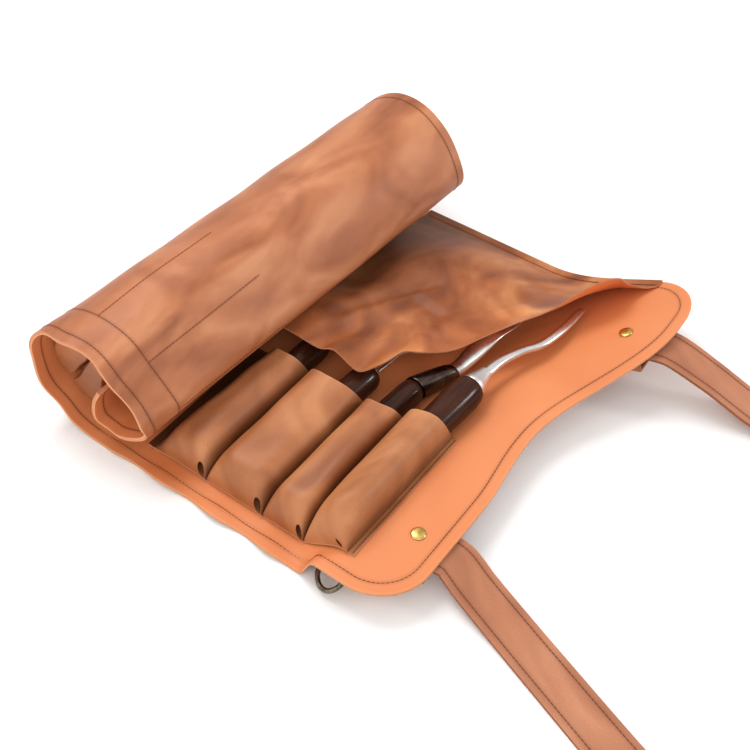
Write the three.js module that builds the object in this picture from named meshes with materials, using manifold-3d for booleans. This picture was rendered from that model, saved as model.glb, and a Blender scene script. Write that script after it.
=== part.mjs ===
// Leather brush and tool roll, half unrolled. Millimetres, +Z up.
// The origin is on the underside of the flat part, on the floor, at the middle of the case's width.
// +Y runs along the pockets from the near edge to the far edge, and +X runs from the roll to the lobed free end.
import * as THREE from 'three';
import { mergeVertices } from 'three/addons/utils/BufferGeometryUtils.js';
import Module from 'manifold-3d';

const wasm = await Module();
wasm.setup();

// ---------- driving dimensions ----------
const HALF_WIDTH = 168;          // half of the case's width, which is the length of the roll
const OUTER_THICK = 1.4;         // brown outer leather
const LINING_THICK = 1.0;        // tan lining leather
const GAP = 0.3;                 // between pieces that touch
const LINING_TOP = OUTER_THICK + GAP + LINING_THICK;
const ON_LINING = LINING_TOP + 0.6;

const ROLL_LINE = { near: -112, far: -90 };   // x where the sheet leaves the floor
const ROLL_SPLIT = 0.6;                       // half of the gap at that line
const LOBE_CORNER = 36;                       // radius of the free end's corners
const FREE_END = { waist: 130, nearLobe: 4.5, farLobe: 38 };   // x at the waist, and how far each lobe stands out

const POCKET_EDGES = [-80, -31.5, 17, 51, 86.5];
const POCKET_BOTTOM = -150;
const POCKET_TOP = -37;
const POCKET_SHOULDER = -132;    // where a pocket reaches its full height
const POCKET_HEIGHTS = [25, 25, 25.5, 30];
const POCKET_RECESS = 9;         // how far a mouth's crest stands back from its sewn ends
const POCKET_THICK = 1.2;
const POCKET_FLANGE = 4;         // flat sewn margin at the strip's two ends

const FLAP_THICK = 1.4;
const FLAP_RISE = 28.5;
const FLAP_SLOPE = 60;           // width of the slope down to the sewn far edge
const FLAP_FAR_Y = 163;
const FOLD_LINE = { from: [-34, -33], to: [100, 108], gap: 1.2 };

const STRAP_HALF = 15;
const STRAP_THICK = 2.6;
const STRAP_HOLE_R = 2.4;
const RIVETS = { near: [113, -113], far: [138, 106] };
const RIVET_CAP_R = 5;
const RIVET_POST_R = 2;
const RIVET_HOLE_R = 2.4;

const TOOL_BUTT_Y = -133;

// ---------- materials ----------
const finish = (color, roughness, metalness = 0) => new THREE.MeshStandardMaterial({ color, roughness, metalness });
const BROWN = finish(0xb9764c, 0.55);
const TAN = finish(0xe89458, 0.6);
const WOOD = finish(0x2a1710, 0.3);
const STEEL = finish(0xc9c7c4, 0.2, 1);
const BRASS = finish(0xc9a24e, 0.3, 1);
const BRONZE = finish(0x7c7264, 0.35, 1);

// ---------- small helpers ----------
const lerp = THREE.MathUtils.lerp;
const steps = (from, to, count) => Array.from({ length: count + 1 }, (_, i) => lerp(from, to, i / count));
const ease = (x, from, to) => THREE.MathUtils.smoothstep(x, from, to);
const across = (y) => (y + HALF_WIDTH) / (2 * HALF_WIDTH);   // 0 at the near edge, 1 at the far edge

const root = new THREE.Group();
function add(parent, name, geometry, material) {
  const mesh = new THREE.Mesh(geometry, material);
  mesh.name = name;
  parent.add(mesh);
  return mesh;
}

// A closed sheet between two surfaces over one grid of parameters.
function sheet(lower, upper, us, vs) {
  const columns = us.length;
  const rows = vs.length;
  const points = [];
  for (const surface of [lower, upper])
    for (const v of vs)
      for (const u of us) points.push(...surface(u, v).toArray());
  const at = (side, i, j) => side * columns * rows + j * columns + i;
  const index = [];
  const quad = (a, b, c, d) => index.push(a, b, c, a, c, d);
  for (let j = 0; j + 1 < rows; j++)
    for (let i = 0; i + 1 < columns; i++) {
      quad(at(0, i, j), at(0, i, j + 1), at(0, i + 1, j + 1), at(0, i + 1, j));
      quad(at(1, i, j), at(1, i + 1, j), at(1, i + 1, j + 1), at(1, i, j + 1));
    }
  for (let i = 0; i + 1 < columns; i++) {
    quad(at(0, i, 0), at(0, i + 1, 0), at(1, i + 1, 0), at(1, i, 0));
    quad(at(0, i + 1, rows - 1), at(0, i, rows - 1), at(1, i, rows - 1), at(1, i + 1, rows - 1));
  }
  for (let j = 0; j + 1 < rows; j++) {
    quad(at(0, 0, j + 1), at(0, 0, j), at(1, 0, j), at(1, 0, j + 1));
    quad(at(0, columns - 1, j), at(0, columns - 1, j + 1), at(1, columns - 1, j + 1), at(1, columns - 1, j));
  }
  return new THREE.BufferGeometry()
    .setAttribute('position', new THREE.Float32BufferAttribute(points, 3))
    .setIndex(index);
}

// The same sheet moved by a distance along its normal.
function offset(surface, distance, du = 1e-3, dv = 0.5) {
  return (u, v) => {
    const alongU = surface(u + du, v).sub(surface(u - du, v));
    const alongV = surface(u, v + dv).sub(surface(u, v - dv));
    return surface(u, v).addScaledVector(alongU.cross(alongV).normalize(), distance);
  };
}

// Booleans, on closed geometry.
function solid(geometry) {
  const bare = geometry.index ? geometry.toNonIndexed() : geometry.clone();
  bare.deleteAttribute('normal');
  bare.deleteAttribute('uv');
  const merged = mergeVertices(bare, 1e-4);
  return new wasm.Manifold(new wasm.Mesh({
    numProp: 3,
    vertProperties: new Float32Array(merged.attributes.position.array),
    triVerts: new Uint32Array(merged.index.array),
  }));
}
function geometryOf(made) {
  const mesh = made.getMesh();
  return new THREE.BufferGeometry()
    .setAttribute('position', new THREE.BufferAttribute(mesh.vertProperties, 3))
    .setIndex(new THREE.BufferAttribute(mesh.triVerts, 1));
}
function cut(geometry, ...tools) {
  return geometryOf(tools.reduce((left, tool) => left.subtract(solid(tool)), solid(geometry)));
}

// ---------- the case's sheet ----------
// Height of the flat part's underside: it lies on the floor, then lifts over the buckles and curls up at the far lobe.
function lift(x, y) {
  const inward = ease(y, -HALF_WIDTH, -100);
  const near = 21 * ease(x, 50 - 25 * inward, 84 + 16 * inward) - 2 * ease(x, 110, 150);
  const far = 48 * ease(x, 45, 185);
  return lerp(near, far, ease(y, -100, HALF_WIDTH));
}
const rollLine = (y) => lerp(ROLL_LINE.near, ROLL_LINE.far, across(y));

// x of the free end: two lobes either side of a waist, with round corners.
function freeEnd(y) {
  const line = FREE_END.waist + FREE_END.nearLobe * (1 - ease(y, -70, -15)) + FREE_END.farLobe * ease(y, -10, 120);
  const over = Math.max(0, Math.abs(y) - (HALF_WIDTH - LOBE_CORNER));
  return line - LOBE_CORNER + Math.sqrt(Math.max(0, LOBE_CORNER ** 2 - over ** 2));
}
const onSheet = (x, y, above) => new THREE.Vector3(x, y, lift(x, y) + above);

// Profiles of the rolled part's outer face, in x and z, from the floor round to the inner turn's end.
const profile = (points) => new THREE.CatmullRomCurve3(
  points.map(([x, z]) => new THREE.Vector3(x, 0, z)), false, 'centripetal');
const NEAR_PROFILE = profile([
  [-112, 0], [-126, 1.2], [-142, 8], [-156, 21], [-164, 38], [-165, 55], [-159, 74], [-145, 88], [-127, 95],
  [-108, 95.5], [-92, 90], [-80, 76], [-67, 61.5], [-59.5, 51], [-63, 40], [-78, 30], [-96, 22], [-108, 28],
  [-109, 45], [-101, 61],
]);
const FAR_PROFILE = profile([
  [-90, 0], [-104, 1.2], [-119, 6], [-133, 16], [-142, 31], [-145, 51], [-140, 72], [-127, 90], [-110, 101],
  [-93, 104], [-76, 100], [-60, 88], [-48, 70], [-41.5, 50], [-46, 40], [-62, 37], [-84, 37], [-102, 41],
  [-108, 53], [-103, 66],
]);
function rolled(t, y) {
  const s = THREE.MathUtils.clamp(t, 0, 1);
  const point = NEAR_PROFILE.getPoint(s).lerp(FAR_PROFILE.getPoint(s), across(y));
  return point.setY(y);
}
const rolledFace = (above) => offset((y, t) => rolled(t, y), above, 0.5, 1e-3);

const widthRows = [-1, -0.985, -0.955, -0.91, -0.86, -0.8, -0.65, -0.45, -0.2, 0, 0.2, 0.45, 0.65, 0.8, 0.86, 0.91,
  0.955, 0.985, 1].map((v) => v * HALF_WIDTH);
const rollRows = steps(-HALF_WIDTH, HALF_WIDTH, 5);

// The flat part, from the roll line to the free end.
function flatPanel(from, to) {
  const place = (above) => (u, y) => {
    const start = rollLine(y) + ROLL_SPLIT;
    const x = lerp(start, freeEnd(y), u);
    return onSheet(x, y, above);
  };
  const us = [0, 0.35, ...steps(0.5, 0.78, 18), 0.85, 0.92, 0.96, 1];
  return sheet(place(from), place(to), us, widthRows);
}
// The rolled part, between two of its turns' parameters and two heights above its outer face.
function rolledPanel(from, to, start, end, count, rows) {
  return sheet(rolledFace(from), rolledFace(to), rows, steps(start, end, count));
}

// ---------- frames on the lifted sheet, for what is riveted to it ----------
function sheetFrame(parent, [x, y], yaw = 0) {
  const d = 4;
  const alongX = onSheet(x + d, y, 0).sub(onSheet(x - d, y, 0)).normalize();
  const alongY = onSheet(x, y + d, 0).sub(onSheet(x, y - d, 0)).normalize();
  const up = alongX.clone().cross(alongY).normalize();
  const frame = new THREE.Group();
  frame.matrixAutoUpdate = true;
  frame.quaternion.setFromRotationMatrix(new THREE.Matrix4().makeBasis(alongX, up.clone().cross(alongX), up));
  frame.position.copy(onSheet(x, y, 0));
  frame.rotateZ(yaw);
  parent.add(frame);
  return frame;
}
function upright(radius, low, high, [x, y] = [0, 0]) {
  return new THREE.CylinderGeometry(radius, radius, high - low, 20).rotateX(Math.PI / 2)
    .translate(x, y, (low + high) / 2);
}
function inFrame(frame, geometry) {
  frame.updateMatrixWorld(true);
  return geometry.clone().applyMatrix4(frame.matrixWorld);
}

const hardware = {};
for (const side of ['near', 'far']) hardware[side] = sheetFrame(root, RIVETS[side]);
const rivetHoles = Object.values(hardware).map((frame) => inFrame(frame, upright(RIVET_HOLE_R, -12, 12)));

add(root, 'outer_panel', cut(flatPanel(0, OUTER_THICK), ...rivetHoles), BROWN);
add(root, 'lining', cut(flatPanel(OUTER_THICK + GAP, LINING_TOP), ...rivetHoles), TAN);
add(root, 'rolled_panel', rolledPanel(0, OUTER_THICK, 0.004, 1, 76, rollRows), BROWN);
add(root, 'rolled_lining', rolledPanel(OUTER_THICK + GAP, LINING_TOP, 0.004, 1, 76, rollRows), TAN);
add(root, 'rolled_pocket_strip', rolledPanel(ON_LINING, ON_LINING + 7, 0.13, 0.6, 24,
  steps(POCKET_BOTTOM, POCKET_TOP, 1)), BROWN);
add(root, 'rolled_flap', rolledPanel(12, 12 + FLAP_THICK, 0.15, 0.6, 24, steps(-31, FLAP_FAR_Y, 1)), BROWN);

// ---------- pocket strip: one pleated sheet, closed at the bottom and open at the top ----------
// Height over one pocket, from its left seam to its right seam: a rounded shoulder, a flat top and a steep right wall.
function pocketProfile(s, last) {
  const [left, right, power, drop] = last ? [0.4, 0.5, 2.6, 0.42] : [0.36, 0.6, 3, 0.4];
  if (s < left) return (1 - (1 - s / left) ** 2.4) ** 0.55;
  return s > right ? (1 - ((s - right) / (1 - right)) ** power) ** drop : 1;
}
function pocketBulge(x) {
  for (let i = 0; i + 1 < POCKET_EDGES.length; i++) {
    const s = (x - POCKET_EDGES[i]) / (POCKET_EDGES[i + 1] - POCKET_EDGES[i]);
    if (s > 0 && s < 1) return { share: pocketProfile(s, i + 2 === POCKET_EDGES.length), height: POCKET_HEIGHTS[i] };
  }
  return { share: 0, height: 0 };
}
const pocketStrip = (above) => (x, v) => {
  const { share, height } = pocketBulge(x);
  const y = lerp(POCKET_BOTTOM, POCKET_TOP - POCKET_RECESS * share, v);
  const rise = THREE.MathUtils.clamp((y - POCKET_BOTTOM) / (POCKET_SHOULDER - POCKET_BOTTOM), 0, 1);
  const open = lerp(0.1, 1, Math.sqrt(rise));
  return onSheet(x, y, ON_LINING + above + height * share * open);
};
const pocketColumns = [POCKET_EDGES[0] - POCKET_FLANGE];
for (let i = 0; i + 1 < POCKET_EDGES.length; i++)
  for (const s of [0, 0.04, 0.12, 0.24, 0.36, 0.5, 0.65, 0.8, 0.9, 0.96, 0.99])
    pocketColumns.push(lerp(POCKET_EDGES[i], POCKET_EDGES[i + 1], s));
pocketColumns.push(POCKET_EDGES.at(-1), POCKET_EDGES.at(-1) + POCKET_FLANGE);
add(root, 'pocket_strip', sheet(pocketStrip(0), pocketStrip(POCKET_THICK), pocketColumns,
  [0, 0.03, 0.07, 0.12, 0.17, 0.45, 0.75, 1]), BROWN);

// ---------- flap: sewn along the far edge, lying over the tools, its slanted end free ----------
const freeEdge = new THREE.CatmullRomCurve3([
  [-62, -32], [-40, -32], [-8, -32.5], [10, -30], [24, -6], [46, 17], [68, 46], [90, 86], [110, 124], [123, 147], [133, 159.5],
].map(([x, y]) => new THREE.Vector3(x, y, 0)), false, 'centripetal');
const flapFace = (above) => (u, v) => {
  const edge = freeEdge.getPoint(THREE.MathUtils.clamp(u, 0, 1));
  const sewn = new THREE.Vector3(lerp(-70, 134, u), FLAP_FAR_Y, 0);
  const plan = sewn.lerp(edge, v);
  const rise = FLAP_RISE * Math.min(1, (FLAP_FAR_Y - plan.y) / FLAP_SLOPE) ** 0.8;
  return onSheet(plan.x, plan.y, ON_LINING + 0.4 + above + rise);
};
const flapWhole = solid(sheet(flapFace(FLAP_THICK), flapFace(0), steps(0, 1, 24), [0, 0.05, 0.1, 0.18, 0.3, 0.5, 0.75, 1]));
// Everything on the free corner's side of the fold line, starting at a distance from the line.
function cornerSide(distance) {
  const [from, to] = [FOLD_LINE.from, FOLD_LINE.to].map(([x, y]) => new THREE.Vector3(x, y, 0));
  const length = from.distanceTo(to) + 20;
  const box = new THREE.BoxGeometry(length, 200, 400).translate(length / 2 - 10, -100 - distance, 0);
  return solid(box.rotateZ(Math.atan2(to.y - from.y, to.x - from.x)).translate(from.x, from.y, 0));
}
add(root, 'flap_panel', geometryOf(flapWhole.subtract(cornerSide(-FOLD_LINE.gap / 2))), BROWN);
add(root, 'flap_corner', geometryOf(flapWhole.intersect(cornerSide(FOLD_LINE.gap / 2))), BROWN);

// ---------- straps ----------
const STRAP_ROUTES = {
  near: [[138.5, -111.3, 15], [159, -116.7, 8.8], [190, -125, 1.6], [225, -137, 0.2], [300, -163, 0], [380, -186, 0], [462, -203, 0]],
  far: [[170, 110, 36.2], [200, 113, 24.5], [236, 117, 8.5], [272, 120, 0.8], [330, 122, 0], [410, 119, 0], [492, 110, 0]],
};
const STRAP_TIP = 14;
const STRAP_HOLES = [0.64, 0.71, 0.78, 0.85, 0.92];
function strapRoute(points) {
  return new THREE.CatmullRomCurve3(points.map((p) => new THREE.Vector3(...p)), false, 'centripetal');
}
function strapFace(route, above) {
  const length = route.getLength();
  return (u, v) => {
    const s = THREE.MathUtils.clamp(u, 0, 1);
    const tangent = route.getTangentAt(s);
    const side = new THREE.Vector3(-tangent.y, tangent.x, 0).normalize();
    const left = (1 - s) * length;
    const half = left < STRAP_TIP
      ? lerp(4, STRAP_HALF, Math.sqrt(1 - ((STRAP_TIP - left) / STRAP_TIP) ** 2)) : STRAP_HALF;
    const up = tangent.clone().cross(side).normalize();
    return route.getPointAt(s).addScaledVector(side, v * half).addScaledVector(up, above);
  };
}
for (const [side, points] of Object.entries(STRAP_ROUTES)) {
  const route = strapRoute(points);
  const us = [...steps(0, 0.36, 12), 0.45, 0.55, 0.65, 0.75, 0.85, 0.93, 0.96, 0.972, 0.984, 0.993, 1];
  const body = sheet(strapFace(route, 0), strapFace(route, STRAP_THICK), us, [-1, 0, 1]);
  const holes = STRAP_HOLES.map((s) => {
    const p = route.getPointAt(s);
    return upright(STRAP_HOLE_R, -3, 8, [p.x, p.y]);
  });
  add(root, 'strap_' + side, cut(body, ...holes), BROWN);
}

// ---------- what hangs under each lobe: strap root, buckle and rivet ----------
const STRAP_ROOT = { near: [98.5, 132.5], far: [123, 164] };   // x of the strap's sewn root
const ROOT_DEPTH = -GAP - STRAP_THICK - 0.9; // a level that clears the root's underside
const CHAPE = { half: 12, skin: 1.5, slot: 5.2, reach: 34 };
const BAR_R = 1.6;
const CHAPE_TOP = ROOT_DEPTH - GAP;
const BAR_Z = CHAPE_TOP - CHAPE.skin - CHAPE.slot / 2;
const BAR_X = -CHAPE.reach + CHAPE.skin + CHAPE.slot / 2 + 0.2;
const FRAME = { inside: 32, reach: 26, wire: 3.4, thick: 3.2 };

// A folded strip round the buckle's bar, with a slot in the fold for the prong.
function chapeShape() {
  const height = CHAPE.slot + 2 * CHAPE.skin;
  const outer = height / 2;
  const inner = CHAPE.slot / 2;
  const shape = new THREE.Shape();
  shape.moveTo(9, -outer);
  shape.lineTo(BAR_X, -outer);
  shape.absarc(BAR_X, 0, outer, -Math.PI / 2, Math.PI / 2, true);
  shape.lineTo(9, outer);
  shape.lineTo(9, 0.15);
  shape.lineTo(BAR_X + 12, 0.15);
  shape.lineTo(BAR_X + 7, inner);
  shape.lineTo(BAR_X, inner);
  shape.absarc(BAR_X, 0, inner, Math.PI / 2, -Math.PI / 2, false);
  shape.lineTo(BAR_X + 7, -inner);
  shape.lineTo(BAR_X + 12, -0.15);
  shape.lineTo(9, -0.15);
  return shape;
}
function along(shape, half) {
  return new THREE.ExtrudeGeometry(shape, { depth: 2 * half, bevelEnabled: false, curveSegments: 10 })
    .translate(0, 0, -half).rotateX(Math.PI / 2);
}
function roundedRectangle(path, x0, x1, half, radius) {
  path.moveTo(x0 + radius, -half);
  path.lineTo(x1 - radius, -half);
  path.absarc(x1 - radius, -half + radius, radius, -Math.PI / 2, 0, false);
  path.lineTo(x1, half - radius);
  path.absarc(x1 - radius, half - radius, radius, 0, Math.PI / 2, false);
  path.lineTo(x0 + radius, half);
  path.absarc(x0 + radius, half - radius, radius, Math.PI / 2, Math.PI, false);
  path.lineTo(x0, -half + radius);
  path.absarc(x0 + radius, -half + radius, radius, Math.PI, 1.5 * Math.PI, false);
  return path;
}
function buckleFrame() {
  const half = FRAME.inside / 2;
  const left = -FRAME.reach;
  const shape = roundedRectangle(new THREE.Shape(), left, BAR_R, half + FRAME.wire, 4);
  shape.holes.push(roundedRectangle(new THREE.Path(), left + FRAME.wire, -BAR_R, half, 1.5));
  return new THREE.ExtrudeGeometry(shape, { depth: FRAME.thick, bevelEnabled: false, curveSegments: 5 })
    .translate(0, 0, -FRAME.thick / 2);
}
// A hook round the bar and a flat finger that lies across the frame.
function prongShape() {
  const inner = 2.6;
  const outer = 3.8;
  const shape = new THREE.Shape();
  const low = -FRAME.thick / 2 - 0.4;
  shape.absarc(0, 0, outer, 0.1, 0.95 * Math.PI, false);
  shape.lineTo(-outer - 1.2, low);
  shape.lineTo(-FRAME.reach - 1, low);
  shape.lineTo(-FRAME.reach - 1, low - 1.7);
  shape.lineTo(-outer - 2.2, low - 1.7);
  shape.lineTo(-inner, 0.4);
  shape.absarc(0, 0, inner, 0.95 * Math.PI, 0.1, true);
  return shape;
}
// A dome and a post, with a washer below.
function rivetBody(depth) {
  const top = LINING_TOP + GAP;
  return new THREE.LatheGeometry([
    [0, depth - 1.2], [4, depth - 1.2], [4, depth], [RIVET_POST_R, depth], [RIVET_POST_R, top], [RIVET_CAP_R, top],
    [RIVET_CAP_R, top + 0.5], [RIVET_CAP_R * 0.78, top + 1.3], [RIVET_CAP_R * 0.4, top + 1.8], [0, top + 2],
  ].map(([r, z]) => new THREE.Vector2(r, z)), 24).rotateX(Math.PI / 2);
}
// A flat loop for the strap's tip, behind the buckle.
function keeperShape() {
  const inner = 16.2;
  const shape = new THREE.Shape();
  const top = CHAPE_TOP - 2;
  const slot = 6.2;
  const low = top - slot - 2 * CHAPE.skin;
  shape.moveTo(-inner - 1.8, low);
  shape.lineTo(inner + 1.8, low);
  shape.lineTo(inner + 1.8, top);
  shape.lineTo(-inner - 1.8, top);
  shape.closePath();
  const hole = new THREE.Path();
  hole.moveTo(-inner, low + CHAPE.skin);
  hole.lineTo(-inner, top - CHAPE.skin);
  hole.lineTo(inner, top - CHAPE.skin);
  hole.lineTo(inner, low + CHAPE.skin);
  hole.closePath();
  shape.holes.push(hole);
  return shape;
}
const BUCKLE_HANG = { near: -0.38, far: -0.05 };
for (const [side, frame] of Object.entries(hardware)) {
  const y = RIVETS[side][1];
  const under = (above) => (x, across15) => onSheet(x, y + across15, above);
  const hole = upright(RIVET_HOLE_R, -20, 10);
  const rootStrip = sheet(under(-GAP - 0.3 - STRAP_THICK), under(-GAP - 0.3), steps(...STRAP_ROOT[side], 8),
    [-STRAP_HALF, 0, STRAP_HALF]);
  add(root, 'strap_root_' + side, cut(rootStrip, inFrame(frame, hole)), BROWN);

  const fold = along(chapeShape(), CHAPE.half).translate(0, 0, BAR_Z);
  const slotCut = new THREE.BoxGeometry(16, 6, 30).translate(BAR_X - 3, 0, BAR_Z);
  add(frame, 'buckle_chape_' + side, cut(fold, hole, slotCut), BROWN);
  const washer = BAR_Z - CHAPE.slot / 2 - CHAPE.skin - GAP;
  add(frame, 'rivet_' + side, rivetBody(washer), BRASS);

  const keeper = new THREE.ExtrudeGeometry(keeperShape(), { depth: 7, bevelEnabled: false })
    .rotateX(Math.PI / 2).rotateZ(Math.PI / 2).translate(10, 0, 0);
  add(frame, 'keeper_' + side, keeper, BROWN);

  const bar = new THREE.Group();
  bar.position.set(BAR_X, 0, BAR_Z);
  bar.rotation.y = BUCKLE_HANG[side];
  frame.add(bar);
  add(bar, 'buckle_frame_' + side, buckleFrame(), BRASS);
  add(bar, 'buckle_prong_' + side, along(prongShape(), 1.6), BRASS);
}

// ---------- carry ring, in a leather tab under the near edge ----------
const RING = { x: 81.5, half: 9.5, depth: 15.5, wire: 1.7, tilt: 1.04 };
const RING_BAR = new THREE.Vector3(RING.x, -156.5, 12.6);
const tab = new THREE.Group();
tab.position.copy(RING_BAR);
tab.rotation.y = -0.28;
root.add(tab);
// A folded strip seen from its side: round the bar, and two layers running back under the sheet.
function tabShape() {
  const inner = 2.2;
  const outer = 3.6;
  const shape = new THREE.Shape();
  shape.absarc(0, 0, outer, -Math.PI / 2, Math.PI / 2, true);
  shape.lineTo(22, 2.5);
  shape.lineTo(22, 0.15);
  shape.lineTo(7, 0.15);
  shape.lineTo(3, inner);
  shape.lineTo(0, inner);
  shape.absarc(0, 0, inner, Math.PI / 2, -Math.PI / 2, false);
  shape.lineTo(3, -inner);
  shape.lineTo(7, -0.15);
  shape.lineTo(22, -0.15);
  shape.lineTo(22, -2.5);
  return shape;
}
const tabStrip = new THREE.ExtrudeGeometry(tabShape(), { depth: 11, bevelEnabled: false, curveSegments: 10 })
  .translate(0, 0, -5.5).rotateX(Math.PI / 2).rotateZ(Math.PI / 2);
add(tab, 'ring_tab', tabStrip, BROWN);
const ringPath = new THREE.CatmullRomCurve3([
  [-RING.half, 0], [0, 0], [RING.half, 0], [RING.half + 0.8, -3], [RING.half - 0.2, -9], [RING.half - 4.5, -14],
  [0, -RING.depth], [4.5 - RING.half, -14], [0.2 - RING.half, -9], [-RING.half - 0.8, -3],
].map(([x, z]) => new THREE.Vector3(x, 0, z)), true, 'centripetal');
const ring = add(tab, 'carry_ring', new THREE.TubeGeometry(ringPath, 44, RING.wire, 8, true), BRONZE);
ring.rotation.x = -RING.tilt;

// ---------- tools: dark wooden handles, steel ferrules and blades ----------
// Each lies along +Y from its butt. A ferrule is [length, radius at the wood, radius at the steel, lean sideways, lean up].
// bend is the blade's own path from the ferrule: [sideways, along, up, half width, half thickness].
const TOOLS = {
  tool_1: { x: -46, z: 13.8, yaw: -0.03, r: 10.3, length: 120, ferrule: [13, 7.2, 4.4, 0, 0], bend: [
    [0, 0, 0, 4, 1.5], [0, 30, 0, 4, 1.2], [0, 42, 0, 10, 0.7], [0, 90, 0, 11, 0.6], [0, 105, 0, 4, 0.6]] },
  tool_2: { x: -4.5, z: 14.2, yaw: -0.08, r: 10.6, length: 117, ferrule: [4, 4.2, 3, 0, 0], bend: [
    [3, 0, 1, 1.3, 1.2], [3, 20, 1, 1.3, 1.1], [2, 34, 0, 6, 0.8], [0, 90, 0, 9, 0.7], [0, 104, 0, 4, 0.6]] },
  tool_3: { x: 29, z: 14.6, yaw: -0.072, r: 9.5, length: 124, ferrule: [30, 8.6, 6, 9.6, -1.3], bend: [
    [9.2, 0, -1.3, 5.4, 2.2], [11, 8, 0, 6, 1.6], [13.4, 22, 6, 6.6, 1.1], [15.5, 32, 11, 7, 1], [15.3, 53, 12, 8, 0.9],
    [13, 70, 10, 8.5, 0.8], [11, 84, 8, 4, 0.7]] },
  tool_4: { x: 69.2, z: 31.2, yaw: -0.052, r: 12, length: 136, ferrule: [16, 10.6, 4.6, 0, 0], bend: [
    [0.5, 0, 0, 3.8, 3], [1.8, 14, 0, 3.3, 2.6], [7, 31, 0, 3.2, 2.5], [14, 45, 0, 3.2, 2.3], [16.8, 66, -1, 3.4, 2],
    [15.5, 84, -3, 5, 1.5], [14.5, 96, -4, 6, 1.1], [14.5, 106, -4.5, 3, 0.9]] },
};
function handleShape(r, l) {
  return new THREE.LatheGeometry([
    [0, 0], [r * 0.6, 1.2], [r * 0.9, 5], [r, 12], [r * 0.97, l * 0.3], [r * 0.94, l * 0.55], [r, l * 0.85],
    [r * 0.99, l - 2], [r * 0.95, l - 0.4], [r * 0.9, l], [0, l],
  ].map(([x, y]) => new THREE.Vector2(x, y)), 20);
}
// A turned cone, leaning evenly from the wood to the steel.
function ferruleShape([length, wide, narrow, sideways, up], from) {
  const shape = new THREE.LatheGeometry([
    [0, 0], [wide, 0], [wide * 0.98, 2], [lerp(wide, narrow, 0.62), length * 0.6], [narrow, length], [0, length],
  ].map(([x, y]) => new THREE.Vector2(x, y)), 20);
  const lean = new THREE.Matrix4().set(1, sideways / length, 0, 0, 0, 1, 0, 0, 0, up / length, 1, 0, 0, 0, 0, 1);
  return shape.applyMatrix4(lean).translate(0, from, 0);
}
function bladeShape(bend, from) {
  const column = (k) => new THREE.CatmullRomCurve3(
    bend.map((b) => new THREE.Vector3(b[k[0]], b[k[1]], b[k[2]])), false, 'centripetal');
  const middle = column([0, 1, 2]);
  const size = column([3, 4, 4]);
  const face = (side) => (v, u) => {
    const p = middle.getPoint(u);
    const s = size.getPoint(u);
    const crown = side * s.y * (1 - 0.5 * v * v);
    return new THREE.Vector3(p.x + v * s.x, p.y + from, p.z + crown);
  };
  return sheet(face(-1), face(1), [-1, -0.5, 0, 0.5, 1], steps(0, 1, 20));
}
for (const [name, tool] of Object.entries(TOOLS)) {
  const group = new THREE.Group();
  group.position.set(tool.x, TOOL_BUTT_Y, tool.z);
  group.rotation.z = tool.yaw;
  root.add(group);
  const wood = tool.length + GAP;
  add(group, name + '_handle', handleShape(tool.r, tool.length), WOOD);
  add(group, name + '_ferrule', ferruleShape(tool.ferrule, wood), STEEL);
  add(group, name + '_blade', bladeShape(tool.bend, wood + tool.ferrule[0] + GAP), STEEL);
}

export default root;
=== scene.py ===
"""Looks of the leather tool roll: fine leather sheets, stitching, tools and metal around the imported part.

Shapes are worked out in millimetres, in the frame of the CAD part, and turned into metres when a mesh
is made.
"""

import math

import bpy
import numpy as np
from mathutils import Matrix, Vector

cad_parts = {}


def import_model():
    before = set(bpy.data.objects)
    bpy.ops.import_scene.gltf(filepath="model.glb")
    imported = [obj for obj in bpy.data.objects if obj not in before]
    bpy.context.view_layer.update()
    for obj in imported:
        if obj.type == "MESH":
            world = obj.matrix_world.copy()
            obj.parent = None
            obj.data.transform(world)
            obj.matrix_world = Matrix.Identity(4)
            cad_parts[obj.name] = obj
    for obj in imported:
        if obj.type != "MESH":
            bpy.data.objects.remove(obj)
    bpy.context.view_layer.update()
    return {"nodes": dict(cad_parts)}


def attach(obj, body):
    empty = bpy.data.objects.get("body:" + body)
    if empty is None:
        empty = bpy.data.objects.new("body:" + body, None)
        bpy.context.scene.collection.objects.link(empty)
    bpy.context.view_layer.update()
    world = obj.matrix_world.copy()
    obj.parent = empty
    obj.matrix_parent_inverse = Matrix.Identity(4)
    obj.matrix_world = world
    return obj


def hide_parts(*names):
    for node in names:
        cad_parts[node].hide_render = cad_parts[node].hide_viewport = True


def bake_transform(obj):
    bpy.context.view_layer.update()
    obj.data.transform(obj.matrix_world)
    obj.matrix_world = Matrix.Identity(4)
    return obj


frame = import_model()

MM = 0.001

# ---------- dimensions of the part, in millimetres ----------
HALF_WIDTH = 168
LINING_TOP = 2.7
ON_LINING = 3.3
ROLL_NEAR, ROLL_FAR = -112, -90
LOBE_CORNER = 36
WAIST, NEAR_LOBE, FAR_LOBE = 130, 4.5, 38
POCKET_EDGES = [-80, -31.5, 17, 51, 86.5]
POCKET_BOTTOM, POCKET_TOP, POCKET_SHOULDER = -150, -37, -132
POCKET_HEIGHTS = [25, 25, 25.5, 30]
POCKET_THICK, POCKET_RECESS = 1.2, 9
FLAP_THICK, FLAP_RISE, FLAP_SLOPE, FLAP_SEWN_Y = 1.4, 28.5, 60, 167.4
STRAP_HALF, STRAP_THICK, STRAP_TIP, STRAP_HOLE_R = 15, 2.6, 14, 2.4
STITCH_IN = 7.5
PATTERN_RUN, SEAM_RUN = 620, 560   # lengths that the roll's patterns and its seam lines are spaced by
SCALLOP = 47                       # from one scallop of the near edge to the next
RIVETS = {"near": (113, -113), "far": (138, 106)}


# ---------- small helpers ----------
def ease(x, a, b):
    t = np.clip((np.asarray(x, float) - a) / (b - a), 0, 1)
    return t * t * (3 - 2 * t)


def mix(a, b, t):
    return a + (b - a) * t


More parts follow.
